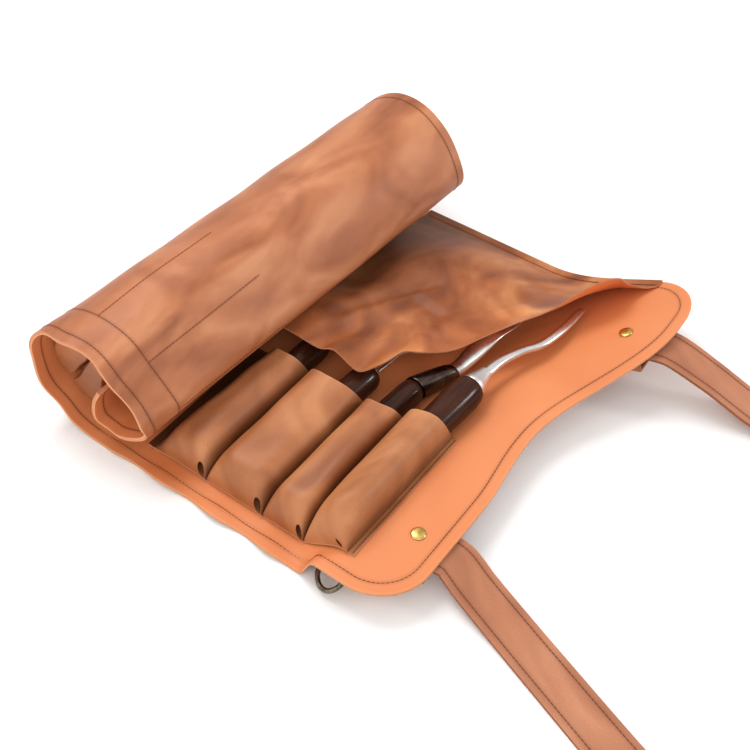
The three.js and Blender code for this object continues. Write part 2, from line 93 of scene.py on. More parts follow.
def unit(v):
    return v / np.maximum(np.linalg.norm(v, axis=-1, keepdims=True), 1e-9)


class Curve:
    """A centripetal Catmull-Rom curve through points, with its parameter shared evenly between them."""

    def __init__(self, points):
        p = np.array(points, float)
        self.count = len(p)
        self.p = np.vstack([2 * p[0] - p[1], p, 2 * p[-1] - p[-2]])

    def __call__(self, t):
        q = (self.count - 1) * np.clip(np.asarray(t, float), 0, 1)
        i = np.minimum(np.floor(q).astype(int), self.count - 2)
        w = (q - i)[..., None]
        p0, p1, p2, p3 = (self.p[i + k] for k in range(4))
        d0, d1, d2 = (np.maximum(((b - a) ** 2).sum(-1) ** 0.25, 1e-9)[..., None]
                      for a, b in ((p0, p1), (p1, p2), (p2, p3)))
        m1 = ((p1 - p0) / d0 - (p2 - p0) / (d0 + d1) + (p2 - p1) / d1) * d1
        m2 = ((p2 - p1) / d1 - (p3 - p1) / (d1 + d2) + (p3 - p2) / d2) * d1
        return ((2 * p1 - 2 * p2 + m1 + m2) * w + (3 * p2 - 3 * p1 - 2 * m1 - m2)) * w * w + m1 * w + p1

    def table(self, samples=1200):
        t = np.linspace(0, 1, samples)
        points = self(t)
        run = np.concatenate([[0], np.cumsum(np.linalg.norm(np.diff(points, axis=0), axis=1))])
        return t, run

    def at_length(self, s):
        """Parameter at a share s of the curve's length."""
        t, run = self.table()
        return np.interp(np.asarray(s) * run[-1], run, t)

    def length(self):
        return self.table()[1][-1]


def ripple(x, y, size, seed):
    """Smooth pseudo-random waves between about -1 and 1, of roughly that size."""
    random = np.random.default_rng(seed)
    total = np.zeros(np.broadcast(x, y).shape)
    for k in range(9):
        angle = random.uniform(0, math.pi)
        wave = size * random.uniform(0.7, 1.9)
        along = x * math.cos(angle) + y * math.sin(angle)
        total += np.sin(2 * math.pi * along / wave + random.uniform(0, 6.28))
    return total / 4.5


# ---------- the case's sheet ----------
def lift(x, y):
    inward = ease(y, -HALF_WIDTH, -100)
    near = 21 * ease(x, 50 - 25 * inward, 84 + 16 * inward) - 2 * ease(x, 110, 150)
    far = 48 * ease(x, 45, 185)
    return mix(near, far, ease(y, -100, HALF_WIDTH))


def across(y):
    return (y + HALF_WIDTH) / (2 * HALF_WIDTH)


def roll_line(y):
    return mix(ROLL_NEAR, ROLL_FAR, across(y))


def free_end(y):
    line = WAIST + NEAR_LOBE * (1 - ease(y, -70, -15)) + FAR_LOBE * ease(y, -10, 120)
    over = np.maximum(0, np.abs(y) - (HALF_WIDTH - LOBE_CORNER))
    return line - LOBE_CORNER + np.sqrt(np.maximum(0, LOBE_CORNER ** 2 - over ** 2))


def margin_wave(x, y):
    """Extra height of the loose near margin, which the pockets' stitching pulls into waves."""
    near = 1 - ease(y, -168, -150)
    wave = 1.5 + 1.5 * np.cos(2 * math.pi * (x + 56) / SCALLOP)
    fold = 21 * (ease(x, 61, 74) - ease(x, 50, 84)) * (1 - ease(y, -164, -151))
    return near * wave * (1 - ease(x, 30, 60)) * ease(x, -112, -85) + fold


def on_sheet(x, y, above):
    x, y = np.broadcast_arrays(np.asarray(x, float), np.asarray(y, float))
    return np.stack([x, y, lift(x, y) + margin_wave(x, y) + above], -1)


NEAR_PROFILE = Curve([
    (-112, 0), (-126, 1.2), (-142, 8), (-156, 21), (-164, 38), (-165, 55), (-159, 74), (-145, 88), (-127, 95),
    (-108, 95.5), (-92, 90), (-80, 76), (-67, 61.5), (-59.5, 51), (-63, 40), (-78, 30), (-96, 22), (-108, 28),
    (-109, 45), (-101, 61)])
FAR_PROFILE = Curve([
    (-90, 0), (-104, 1.2), (-119, 6), (-133, 16), (-142, 31), (-145, 51), (-140, 72), (-127, 90), (-110, 101),
    (-93, 104), (-76, 100), (-60, 88), (-48, 70), (-41.5, 50), (-46, 40), (-62, 37), (-84, 37), (-102, 41),
    (-108, 53), (-103, 66)])


def rolled_middle(t, y):
    """A point of the rolled part's outer face."""
    t, y = np.broadcast_arrays(np.asarray(t, float), np.asarray(y, float))
    a = across(np.clip(y, -HALF_WIDTH, HALF_WIDTH))[..., None]
    xz = mix(NEAR_PROFILE(t), FAR_PROFILE(t), a)
    return np.stack([xz[..., 0], y, xz[..., 1]], -1)


def rolled_normal(t, y):
    dt, dy = 2e-3, 0.5
    t, y = np.broadcast_arrays(np.asarray(t, float), np.asarray(y, float))
    low, high = np.clip(t - dt, 0, 1), np.clip(t + dt, 0, 1)
    along_t = rolled_middle(high, y) - rolled_middle(low, y)
    along_y = rolled_middle(t, y + dy) - rolled_middle(t, y - dy)
    return unit(np.cross(along_y, along_t))


def rolled_slack(t, y):
    """Soft hollows and swells of the roll, fading out where it meets the flat part."""
    run = t * PATTERN_RUN
    edge = 1 - ease(np.abs(y), 150, 168)
    swell = 1.1 * ripple(run, y, 90, 5) * (0.35 + 0.65 * edge)
    near = 1 - ease(y, -168, -138)
    rim = near * 0.9 * np.sin(2 * math.pi * run / 62 + 1.2)
    return (swell + rim) * ease(t, 0.05, 0.16) * (1 - 0.75 * ease(t, 0.62, 0.72))


def rolled_at(t, y, above):
    t, y = np.broadcast_arrays(np.asarray(t, float), np.asarray(y, float))
    return rolled_middle(t, y) + rolled_normal(t, y) * (np.asarray(above) + rolled_slack(t, y))[..., None]


# ---------- meshes ----------
def new_object(name, points, faces, materials, slots=None, uv=None, layers=None, sharp=45):
    mesh = bpy.data.meshes.new(name)
    mesh.from_pydata((np.asarray(points, float) * MM).tolist(), [], faces)
    for material in materials:
        mesh.materials.append(material)
    if slots is not None:
        mesh.polygons.foreach_set("material_index", np.asarray(slots, np.int32))
    if uv is not None:
        layer = mesh.uv_layers.new(name="UVMap")
        corner = np.zeros(len(mesh.loops), np.int32)
        mesh.loops.foreach_get("vertex_index", corner)
        layer.data.foreach_set("uv", (np.asarray(uv, float) * MM)[corner].astype(np.float32).ravel())
    for key, values in (layers or {}).items():
        attribute = mesh.attributes.new(key, "FLOAT", "POINT")
        attribute.data.foreach_set("value", np.asarray(values, np.float32).ravel())
    mesh.shade_smooth()
    mesh.set_sharp_from_angle(angle=math.radians(sharp))
    mesh.validate()
    mesh.update()
    obj = bpy.data.objects.new(name, mesh)
    bpy.context.scene.collection.objects.link(obj)
    return obj


def thick_sheet(name, lower, upper, us, vs, materials, uv=None, layers=None, sharp=45):
    """A closed sheet between two surfaces, with materials for its upper face, lower face and cut edge."""
    grid_u, grid_v = np.meshgrid(us, vs)
    low, high = lower(grid_u, grid_v), upper(grid_u, grid_v)
    rows, columns = grid_u.shape
    count = rows * columns
    points = np.concatenate([low.reshape(-1, 3), high.reshape(-1, 3)])
    at = np.arange(count).reshape(rows, columns)
    a, b, c, d = at[:-1, :-1].ravel(), at[:-1, 1:].ravel(), at[1:, 1:].ravel(), at[1:, :-1].ravel()
    faces = [np.stack([a, d, c, b], 1), np.stack([a, b, c, d], 1) + count]
    slots = [np.full(len(a), 1), np.zeros(len(a), int)]
    rim = np.concatenate([at[0, :-1], at[:-1, -1], at[-1, :0:-1], at[:0:-1, 0]])
    following = np.roll(rim, -1)
    faces.append(np.stack([rim, following, following + count, rim + count], 1))
    slots.append(np.full(len(rim), 2))
    spread = None
    if uv is not None:
        flat = np.stack(uv(grid_u, grid_v), -1).reshape(-1, 2)
        spread = np.concatenate([flat, flat])
    values = {k: np.tile(f(grid_u, grid_v).ravel(), 2) for k, f in (layers or {}).items()}
    return new_object(name, points, np.concatenate(faces).tolist(), materials, np.concatenate(slots), spread,
                      values, sharp)


def lathe(name, profile, material, turns=64, place=None, smooth_angle=40):
    """A solid turned about +Y from (radius, along) points."""
    angles = np.linspace(0, 2 * math.pi, turns, endpoint=False)
    points = [(0.0, profile[0][1], 0.0), (0.0, profile[-1][1], 0.0)]
    for r, along in profile:
        points += [(r * math.cos(a), along, r * math.sin(a)) for a in angles]
    faces = []
    for k in range(turns):
        n = (k + 1) % turns
        faces.append((0, 2 + k, 2 + n))
        last = 2 + (len(profile) - 1) * turns
        faces.append((1, last + n, last + k))
        for j in range(len(profile) - 1):
            base = 2 + j * turns
            faces.append((base + k, base + turns + k, base + turns + n, base + n))
    points = np.array(points)
    if place is not None:
        points = place(points)
    return new_object(name, points, faces, [material], sharp=smooth_angle)


def swept(name, path, side, up, outline, materials, sharp=40, closed=False):
    """A bar along a path. outline(k) gives its section at path point k, as (sideways, up) pairs."""
    sections = [np.asarray(outline(k), float) for k in range(len(path))]
    size = len(sections[0])
    points = np.concatenate([path[k] + s[:, :1] * side[k] + s[:, 1:] * up[k] for k, s in enumerate(sections)])
    faces = []
    for k in range(len(path) if closed else len(path) - 1):
        a, b = k * size, ((k + 1) % len(path)) * size
        for j in range(size):
            n = (j + 1) % size
            faces.append((a + j, a + n, b + n, b + j))
    if not closed:
        faces.append(tuple(range(size))[::-1])
        faces.append(tuple(range(len(points) - size, len(points))))
    return new_object(name, points, faces, materials, sharp=sharp)


def resample(points, pitch, values=()):
    """Points every pitch along a polyline, with other values at the same places."""
    run = np.concatenate([[0], np.cumsum(np.linalg.norm(np.diff(points, axis=0), axis=1))])
    count = max(2, int(round(run[-1] / pitch)))
    s = (np.arange(count) + 0.5) * run[-1] / count
    return [np.stack([np.interp(s, run, v[:, k]) for k in range(3)], -1) for v in (points, *values)]


STITCH_PITCH, STITCH_LENGTH, STITCH_R = 2.9, 2.7, 0.27


def stitches(name, rows, material, radius=STITCH_R):
    """Threads that dip into the leather at both ends, along rows of (points, normals)."""
    shape = [(-0.5, 0.25, -0.42), (-0.42, 0.8, -0.12), (-0.2, 1, 0.12), (0.2, 1, 0.12), (0.42, 0.8, -0.12),
             (0.5, 0.25, -0.42)]
    around = np.linspace(0, 2 * math.pi, 6, endpoint=False)
    points, faces = [], []
    for path, normals in rows:
        middle, up = resample(np.asarray(path), STITCH_PITCH, [np.asarray(normals)])
        up = unit(up)
        tangent = unit(np.gradient(middle, axis=0))
        side = unit(np.cross(up, tangent))
        up = np.cross(tangent, side)
        for m, t, s, u in zip(middle, tangent, side, up):
            base = len(points)
            for along, wide, high in shape:
                centre = m + t * along * STITCH_LENGTH + u * high * radius / 0.4
                points += [centre + wide * radius * (s * math.cos(a) + u * math.sin(a)) for a in around]
            for j in range(len(shape) - 1):
                for k in range(6):
                    n = (k + 1) % 6
                    a, b = base + 6 * j, base + 6 * (j + 1)
                    faces.append((a + k, a + n, b + n, b + k))
            faces.append(tuple(base + k for k in range(6))[::-1])
            faces.append(tuple(base + 6 * (len(shape) - 1) + k for k in range(6)))
    return new_object(name, np.array(points), faces, [material], sharp=60)


# ---------- materials ----------
def linear(rgb):
    values = [c / 255 for c in rgb]
    return tuple(c / 12.92 if c <= 0.04045 else ((c + 0.055) / 1.055) ** 2.4 for c in values) + (1,)


class Nodes:
    """A material's node tree, built node by node."""

    def __init__(self, name):
        self.material = bpy.data.materials.new(name)
        self.material.use_nodes = True
        self.tree = self.material.node_tree
        self.shader = self.tree.nodes["Principled BSDF"]

    def add(self, kind, inputs=(), **settings):
        node = self.tree.nodes.new("ShaderNode" + kind)
        for key, value in settings.items():
            setattr(node, key, value)
        for key, value in dict(inputs).items():
            self.plug(node.inputs[key], value)
        return node

    def plug(self, socket, value):
        """Links a socket to another node's output, or gives it a plain value."""
        if isinstance(value, bpy.types.NodeSocket):
            self.tree.links.new(value, socket)
        else:
            socket.default_value = value

    def noise(self, vector, scale, detail=2, roughness=0.5, distortion=0):
        return self.add("TexNoise", {"Vector": vector, "Scale": scale, "Detail": detail,
                                     "Roughness": roughness, "Distortion": distortion}).outputs["Fac"]

    def ramp(self, value, stops):
        node = self.add("ValToRGB", {"Fac": value})
        elements = node.color_ramp.elements
        while len(elements) < len(stops):
            elements.new(0.5)
        for element, (place, colour) in zip(elements, stops):
            element.position = place
            element.color = colour if len(colour) == 4 else (*colour, 1)
        return node.outputs["Color"]

    def math(self, operation, a, b=0.5, c=0.0):
        return self.add("Math", {0: a, 1: b, 2: c}, operation=operation).outputs[0]

    def blend(self, factor, a, b, kind="MIX"):
        """Mixes two colours. A Mix node's colour sockets are its 7th and 8th."""
        node = self.add("Mix", {0: factor, 6: a, 7: b}, data_type="RGBA", blend_type=kind)
        return node.outputs[2]

    def bump(self, height, strength, distance, normal=None):
        inputs = {"Height": height, "Strength": strength, "Distance": distance}
        if normal is not None:
            inputs["Normal"] = normal
        return self.add("Bump", inputs).outputs["Normal"]

    def set(self, **inputs):
        for key, value in inputs.items():
            self.plug(self.shader.inputs[key.replace("_", " ")], value)
        return self.material


def grey(value):
    return (value, value, value, 1)


def leather(name, dark, middle, light, patches=22, contrast=1.0, stretch=(1, 1), grain=1400,
            grain_depth=0.00009, rough=(0.42, 0.58), spot=0.25, coords="UV", seam=True, streak=0.35,
            specular=0.4):
    """Vegetable leather: soft cloudy tones, fine pores, painted shade in a line along the stitching where the
    stitch groove is, and painted light and shade set by the 'shade' attribute.
    """
    n = Nodes(name)
    dark, middle, light = linear(dark), linear(middle), linear(light)
    source = n.add("TexCoord").outputs[coords]
    wide = n.add("Mapping", {"Vector": source, "Scale": (stretch[0], stretch[1], 1)}).outputs[0]
    cloud = n.noise(wide, patches, 2.5, 0.5, 1.0)
    small = n.noise(wide, patches * 3.3, 3, 0.5, 0.6)
    tone = n.math("MULTIPLY_ADD", small, streak, n.math("MULTIPLY", cloud, 1 - streak))
    half = 0.17 / contrast
    colour = n.ramp(tone, [(0.5 - half, dark), (0.5, middle), (0.5 + half, light)])
    cells = n.add("TexVoronoi", {"Vector": source, "Scale": grain}, feature="DISTANCE_TO_EDGE")
    pores = cells.outputs["Distance"]
    fine = n.noise(source, grain * 0.7, 2, 0.6)
    speck = n.ramp(fine, [(0.3, grey(1 - spot * 0.5)), (0.62, grey(1.0))])
    colour = n.blend(1.0, colour, speck, "MULTIPLY")
    if seam:
        # Painted shade: within 2.4 mm of a stitch line the colour darkens, down to half at the line, standing
        # in for the shade in the stitch groove.
        near = n.add("Attribute", attribute_name="seam").outputs["Fac"]
        line = n.ramp(n.math("DIVIDE", near, 6.0), [(0.0, grey(0.5)), (0.13, grey(0.84)), (0.4, grey(1.0))])
        colour = n.blend(1.0, colour, line, "MULTIPLY")
        margin = n.add("Attribute", attribute_name="edge").outputs["Fac"]
        worn = n.ramp(n.math("DIVIDE", margin, 6.0), [(0.0, grey(1.12)), (0.3, grey(1.0))])
        colour = n.blend(1.0, colour, worn, "MULTIPLY")
    # Painted light and shade: above zero the 'shade' attribute darkens the colour (painted shade, down to
    # 0.12 at 1); below zero it lightens it (painted light, up to 1.35 at -0.25).
    deep = n.math("MULTIPLY_ADD", n.add("Attribute", attribute_name="shade").outputs["Fac"], 0.8, 0.2)
    shading = n.ramp(deep, [(0.0, grey(1.35)), (0.2, grey(1.0)), (1.0, grey(0.12))])
    colour = n.blend(1.0, colour, shading, "MULTIPLY")
    height = n.math("MULTIPLY_ADD", pores, 0.55, n.math("MULTIPLY", fine, 0.5))
    normal = n.bump(height, 0.55, grain_depth)
    creases = n.noise(wide, patches * 7, 2, 0.5, 0.6)
    normal = n.bump(creases, 0.12, 0.0006, normal)
    sheen = n.ramp(n.math("MULTIPLY_ADD", fine, 0.35, n.math("MULTIPLY", cloud, 0.65)),
                   [(0.3, grey(rough[0])), (0.7, grey(rough[1]))])
    return n.set(Base_Color=colour, Roughness=sheen, Normal=normal, Specular_IOR_Level=specular)


def cut_edge(name, colour):
    """The raw edge of cut leather, with its fibres running along it."""
    n = Nodes(name)
    colour = linear(colour)
    source = n.add("TexCoord").outputs["Object"]
    fibre = n.noise(source, 900, 3, 0.7)
    tone = n.ramp(fibre, [(0.3, tuple(0.78 * c for c in colour[:3])), (0.7, colour)])
    return n.set(Base_Color=tone, Roughness=0.72, Normal=n.bump(fibre, 0.5, 0.0002), Specular_IOR_Level=0.25)


def thread(name, colour):
    n = Nodes(name)
    colour = linear(colour)
    source = n.add("TexCoord").outputs["Object"]
    waves = {"Vector": source, "Scale": 900, "Distortion": 2.0, "Detail": 1.0}
    twist = n.add("TexWave", waves).outputs["Fac"]
    tone = n.ramp(twist, [(0.2, tuple(0.7 * c for c in colour[:3])), (0.8, colour)])
    return n.set(Base_Color=tone, Roughness=0.75, Normal=n.bump(twist, 0.4, 0.0001), Specular_IOR_Level=0.1)


def lacquered_wood(name, dark, light):
    n = Nodes(name)
    source = n.add("TexCoord").outputs["Object"]
    grain_space = n.add("Mapping", {"Vector": source, "Scale": (1, 0.09, 1)}).outputs[0]
    grain = n.noise(grain_space, 420, 4, 0.65, 0.4)
    bands = n.noise(grain_space, 90, 2, 0.5, 1.0)
    share = n.math("MULTIPLY_ADD", grain, 0.5, n.math("MULTIPLY", bands, 0.5))
    tone = n.ramp(share, [(0.36, linear(dark)), (0.66, linear(light))])
    rough = n.ramp(grain, [(0.35, grey(0.3)), (0.7, grey(0.42))])
    return n.set(Base_Color=tone, Roughness=rough, Normal=n.bump(grain, 0.12, 0.0003), Coat_Weight=0.3,
                 Coat_Roughness=0.16, Specular_IOR_Level=0.05)


def metal(name, colour, rough, brushed=0.1, along=(1, 0.05, 1), tarnish=None):
    """Metal with fine brush marks and, where asked, darker tarnish."""
    n = Nodes(name)
    source = n.add("TexCoord").outputs["Object"]
    space = n.add("Mapping", {"Vector": source, "Scale": along}).outputs[0]
    marks = n.noise(space, 1500, 3, 0.6)
    clouds = n.noise(source, 160, 3, 0.6)
    colour = linear(colour)
    low = linear(tarnish) if tarnish else tuple(0.86 * c for c in colour[:3])
    share = n.math("MULTIPLY_ADD", marks, 0.3, n.math("MULTIPLY", clouds, 0.7))
    tone = n.ramp(share, [(0.36, low), (0.6, colour)])
    gloss = n.ramp(marks, [(0.3, grey(rough)), (0.7, grey(rough + 0.1))])
    return n.set(Base_Color=tone, Metallic=1.0, Roughness=gloss, Normal=n.bump(marks, brushed, 0.0002))


BROWN = leather("brown_leather", (146, 84, 50), (181, 112, 70), (208, 141, 95),
                patches=14, contrast=1.0, stretch=(1.2, 0.85), streak=0.15)
ROLL_BROWN = leather("roll_leather", (148, 82, 48), (182, 112, 72), (208, 141, 99),
                     patches=13, contrast=0.95, stretch=(1.05, 0.9), streak=0.14)
POCKET = leather("pocket_leather", (146, 84, 46), (176, 110, 66), (200, 136, 90),
                 patches=16, contrast=1.05, stretch=(1.1, 0.8), spot=0.2, streak=0.1)
FLAP_BROWN = leather("flap_leather", (122, 62, 30), (164, 94, 52), (200, 132, 82),
                     patches=17, contrast=1.15, stretch=(1.1, 0.8), rough=(0.46, 0.58), streak=0.15,
                     specular=0.3)
STRAP_BROWN = leather("strap_leather", (150, 90, 62), (180, 116, 82), (204, 140, 104),
                      patches=18, contrast=0.7, stretch=(0.7, 1.2), streak=0.12)
TAN = leather("lining_leather", (210, 122, 72), (218, 131, 80), (224, 140, 88),
              patches=9, contrast=0.6, grain=1900, grain_depth=0.00004, rough=(0.5, 0.6), spot=0.08,
              streak=0.1)
# Painted shade: a darker copy of the pocket leather for the pocket ends rolled up inside the roll, standing
# in for the shade inside the roll.
SHADED_ROLLED_POCKET = leather("rolled_pocket_leather_painted_shade", (126, 68, 34), (152, 86, 46),
                        (178, 108, 64), patches=14, contrast=0.85, coords="Object", seam=False, streak=0.1)
HIDDEN = leather("hardware_leather", (150, 90, 60), (178, 112, 76), (200, 136, 98),
                 patches=40, coords="Object", seam=False)
# Painted shade: this dark brown on the pockets' inner faces stands in for the shade inside the pockets.
POCKET_INSIDE_SHADE = leather("pocket_inside_painted_shade", (62, 34, 20), (74, 42, 25), (86, 50, 30),
                patches=14, contrast=0.7, rough=(0.8, 0.9), spot=0.3, streak=0.3, specular=0.1)
BROWN_EDGE = cut_edge("brown_cut_edge", (214, 150, 110))
STRAP_EDGE = cut_edge("strap_cut_edge", (150, 92, 60))
TAN_EDGE = cut_edge("tan_cut_edge", (232, 160, 112))
THREAD = thread("stitching_thread", (142, 68, 34))
WOOD = lacquered_wood("dark_wood", (32, 14, 8), (72, 37, 22))
STEEL = metal("polished_steel", (226, 225, 223), 0.26, brushed=0.02)
BRUSHED_STEEL = metal("brushed_steel", (232, 230, 227), 0.36, brushed=0.03)
DARK_STEEL = metal("dark_steel", (84, 72, 64), 0.24, brushed=0.02, tarnish=(58, 48, 42))
BRASS = metal("brass", (226, 190, 110), 0.24, tarnish=(176, 132, 62))
BRONZE = metal("antique_bronze", (132, 122, 106), 0.28, tarnish=(70, 62, 52))


# ---------- rows and columns of the flat part ----------
def spaced(a, b, step):
    return np.linspace(a, b, max(2, int(round(abs(b - a) / step)) + 1))


corner = HALF_WIDTH - LOBE_CORNER
turn = np.radians([0, 8, 16, 24, 32, 40, 48, 55, 62, 68, 73, 78, 82, 85.5, 88.2, 90])
far_rows = corner + LOBE_CORNER * np.sin(turn)
WIDTH_ROWS = np.concatenate([-far_rows[::-1], spaced(-corner, corner, 3.6)[1:-1], far_rows])
FLAT_COLUMNS = np.concatenate([spaced(0, 0.9, 0.013), [0.915, 0.93, 0.945, 0.958, 0.966, 0.97, 0.974, 0.985,
                                                      0.994, 1.0]])


def flat_place(u, y):
    return mix(roll_line(y) - 0.1, free_end(y), u)


def near_edge_pull(x, y):
    """How far the near edge stands out or in, in scallops below the pockets."""
    return -1.3 * np.cos(2 * math.pi * (x + 56) / SCALLOP) * (1 - ease(y, -168, -152)) \
        * (1 - ease(x, 35, 55)) * ease(x, -112, -90)


def flat_face(above):
    def place(u, y):
        x = flat_place(u, y)
        p = on_sheet(x, y, above)
        p[..., 1] += near_edge_pull(x, y)
        p[..., 2] += 0.25 * ripple(x, y, 60, 3) * ease(u, 0.02, 0.1) * ease(-y, -168, -150) * 0.6
        return p
    return place


def outline_points():
    """The flat part's outline, from the roll's near edge round the free end to the roll's far edge."""
    near = [(x, -HALF_WIDTH) for x in spaced(ROLL_NEAR, free_end(-HALF_WIDTH), 2)[:-1]]
    end = [(float(free_end(y)), y) for y in np.concatenate([
        -(corner + LOBE_CORNER * np.sin(np.linspace(math.pi / 2, 0, 40)))[:-1],
        spaced(-corner, corner, 2), (corner + LOBE_CORNER * np.sin(np.linspace(0, math.pi / 2, 40)))[1:]])]
    far = [(x, HALF_WIDTH) for x in spaced(free_end(HALF_WIDTH), ROLL_FAR, 2)[1:]]
    return np.array(near + end + far)


OUTLINE = outline_points()


def inset_line(distance):
    """The outline moved inwards by a distance."""
    tangent = unit(np.gradient(OUTLINE, axis=0))
    inward = np.stack([-tangent[:, 1], tangent[:, 0]], 1)
    return OUTLINE + inward * distance


def outline_distance(x, y):
    shape = np.broadcast(x, y).shape
    p = np.stack([np.broadcast_to(x, shape).ravel(), np.broadcast_to(y, shape).ravel()], 1)
    best = np.full(len(p), 1e9)
    a, b = OUTLINE[:-1], OUTLINE[1:]
    ab = b - a
    length = np.maximum((ab ** 2).sum(1), 1e-9)
    for k in range(0, len(p), 4000):
        q = p[k:k + 4000, None]
        t = np.clip(((q - a) * ab).sum(-1) / length, 0, 1)
        best[k:k + 4000] = np.sqrt((((a + ab * t[..., None]) - q) ** 2).sum(-1).min(1))
    return best.reshape(shape)


def flat_layers(seams):
    def edge(u, y):
        return outline_distance(flat_place(u, y), y)

    def seam(u, y):
        x = flat_place(u, y)
        found = np.abs(outline_distance(x, y) - STITCH_IN)
        if seams:
            for line in POCKET_EDGES:
                inside = (y > POCKET_BOTTOM - 3) & (y < POCKET_TOP + 3)
                found = np.minimum(found, np.where(inside, np.abs(x - line), 99))
        return found
    return {"edge": edge, "seam": seam}


def flat_uv(u, y):
    x = flat_place(u, y)
    return x + 400, y + 300


def with_hole_cut(obj, cutters):
    """Takes the cutters, which are then removed, out of obj."""
    for cutter in cutters:
        modifier = obj.modifiers.new("cut", "BOOLEAN")
        modifier.object = cutter
        modifier.solver = "EXACT"
        modifier.operation = "DIFFERENCE"
    bpy.context.view_layer.update()
    made = bpy.data.meshes.new_from_object(obj.evaluated_get(bpy.context.evaluated_depsgraph_get()))
    obj.modifiers.clear()
    obj.data = made
    for cutter in cutters:
        bpy.data.objects.remove(cutter)
    return obj


def ride(obj, body, slot, *nodes):
    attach(obj, body)
    if nodes:
        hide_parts(*nodes)
    return obj


# ---------- flat part: outer leather and lining ----------
outer = thick_sheet("outer_panel_skin", flat_face(0), flat_face(1.5), FLAT_COLUMNS, WIDTH_ROWS,
                    [TAN, BROWN, BROWN_EDGE], flat_uv, flat_layers(True))
ride(outer, "case", "outer_leather", "outer_panel")
lining = thick_sheet("lining_skin", flat_face(1.56), flat_face(LINING_TOP), FLAT_COLUMNS, WIDTH_ROWS,
                     [TAN, TAN, TAN_EDGE], flat_uv, flat_layers(True))
ride(lining, "case", "lining_leather", "lining")


# ---------- rolled part ----------
SECOND_ROW_Y = -139.5


def y_rows(step=4.0):
    margin = np.array([0, 1, 2.5, 4.5, 6.5, 7.5, 8.5, 10.5, 13])
    second = SECOND_ROW_Y + np.array([-2.5, -1, 0, 1, 2.5])
    return np.concatenate([-HALF_WIDTH + margin, spaced(-HALF_WIDTH + 16, SECOND_ROW_Y - 5, step), second,
                           spaced(SECOND_ROW_Y + 5, HALF_WIDTH - 16, step), HALF_WIDTH - margin[::-1]])


ROLL_LINES = {"low": 0.700, "front": 0.575, "top": 0.437, "back": 0.315}   # parameters of the pocket seams


def rolled_face(above):
    return lambda y, t: rolled_at(t, y + rim_pull(t, y), above)


def rim_pull(t, y):
    near = 1 - ease(y, -168, -150)
    return near * 1.3 * np.sin(2 * math.pi * t * PATTERN_RUN / 74 + 0.7) * ease(t, 0.05, 0.15)


def rolled_seam(y, t):
    found = np.minimum(np.abs(HALF_WIDTH - STITCH_IN - np.abs(y)), (1 - t) * PATTERN_RUN - STITCH_IN)
    found = np.abs(found)
    found = np.minimum(found, np.where(t < 0.72, np.abs(y - SECOND_ROW_Y), 99))
    for line in ROLL_LINES.values():
        found = np.minimum(found, np.where((y > SECOND_ROW_Y) & (y < -36), np.abs(t - line) * SEAM_RUN, 99))
    return found


def rolled_edge(y, t):
    return np.minimum(HALF_WIDTH - np.abs(y), (1 - t) * PATTERN_RUN)


ROLL_T = np.sort(np.concatenate([np.linspace(0.0, 1, 250)] + [
    line + np.array([-2, -1, 0, 1, 2]) / SEAM_RUN for line in ROLL_LINES.values()]))
rolled_layers = {"seam": rolled_seam, "edge": rolled_edge}
rolled_uv = lambda y, t: (290 - t * PATTERN_RUN, y + 300)
rolled_outer = thick_sheet("rolled_outer_skin", rolled_face(0), rolled_face(1.5), y_rows(), ROLL_T,
                           [TAN, ROLL_BROWN, BROWN_EDGE], rolled_uv, rolled_layers)
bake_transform(rolled_outer)
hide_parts("rolled_panel")
rolled_lining = thick_sheet("rolled_lining_skin", rolled_face(1.56), rolled_face(LINING_TOP), y_rows(),
                            ROLL_T, [TAN, TAN, TAN_EDGE], rolled_uv, rolled_layers)
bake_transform(rolled_lining)
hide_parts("rolled_lining")

# the closed ends of the pockets that are rolled up inside
ROLLED_POCKETS = {
    "rolled_pocket_left": [
        (-157.5, 54), (-153, 37), (-144, 38), (-130, 56), (-119, 71), (-117, 84), (-130, 87.5), (-145, 80)],
    "rolled_pocket_middle": [
        (-147, 29), (-134, 19), (-119, 19), (-114, 32), (-113, 48), (-106, 64), (-101, 80), (-110, 87),
        (-116, 74), (-128, 55), (-139, 39)],
    "rolled_pocket_right": [
        (-107, 57), (-99, 44), (-88, 41), (-76, 46), (-73, 55), (-84, 68), (-93, 79), (-99, 74)]}
for name, ring in ROLLED_POCKETS.items():
    closed = Curve([(x, 0, z) for x, z in ring * 3])
    count = len(ring)
    outline = closed(np.linspace(count / (3 * count - 1), 2 * count / (3 * count - 1), 73)[:-1])[:, [0, 2]]
    middle = outline.mean(0)
    depth = np.array([0, 0.3, 0.9, 1.8, 3, 4.6, 7.2, 10.5, 14.5, 19, 26, 40, 60, 85, 112])
    path = np.stack([np.zeros(len(depth)), -154.5 + depth, np.zeros(len(depth))], -1)
    size = np.sqrt(1 - (1 - np.clip(depth / 6, 0, 1)) ** 2) * 0.16 + 0.85
    size[0] = 0.8

    def section(k, outline=outline, middle=middle, size=size, depth=depth):
        share = 0.10 * (k / len(depth))
        pleat = 0.035 * np.sin(np.linspace(0, 2 * math.pi, 72, endpoint=False) * 5 + 0.05 * depth[k] + 1)
        shape = middle + (outline - middle) * (size[k] * (1 - share) * (1 + pleat))[:, None]
        shape[:, 0] += 4.0 * depth[k] / 112
        return shape

    piece = swept(name, path, np.tile([1.0, 0, 0], (len(depth), 1)), np.tile([0.0, 0, 1], (len(depth), 1)),
                  section, [SHADED_ROLLED_POCKET], sharp=80)
    ride(piece, "roll", "outer_leather")
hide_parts("rolled_pocket_strip")

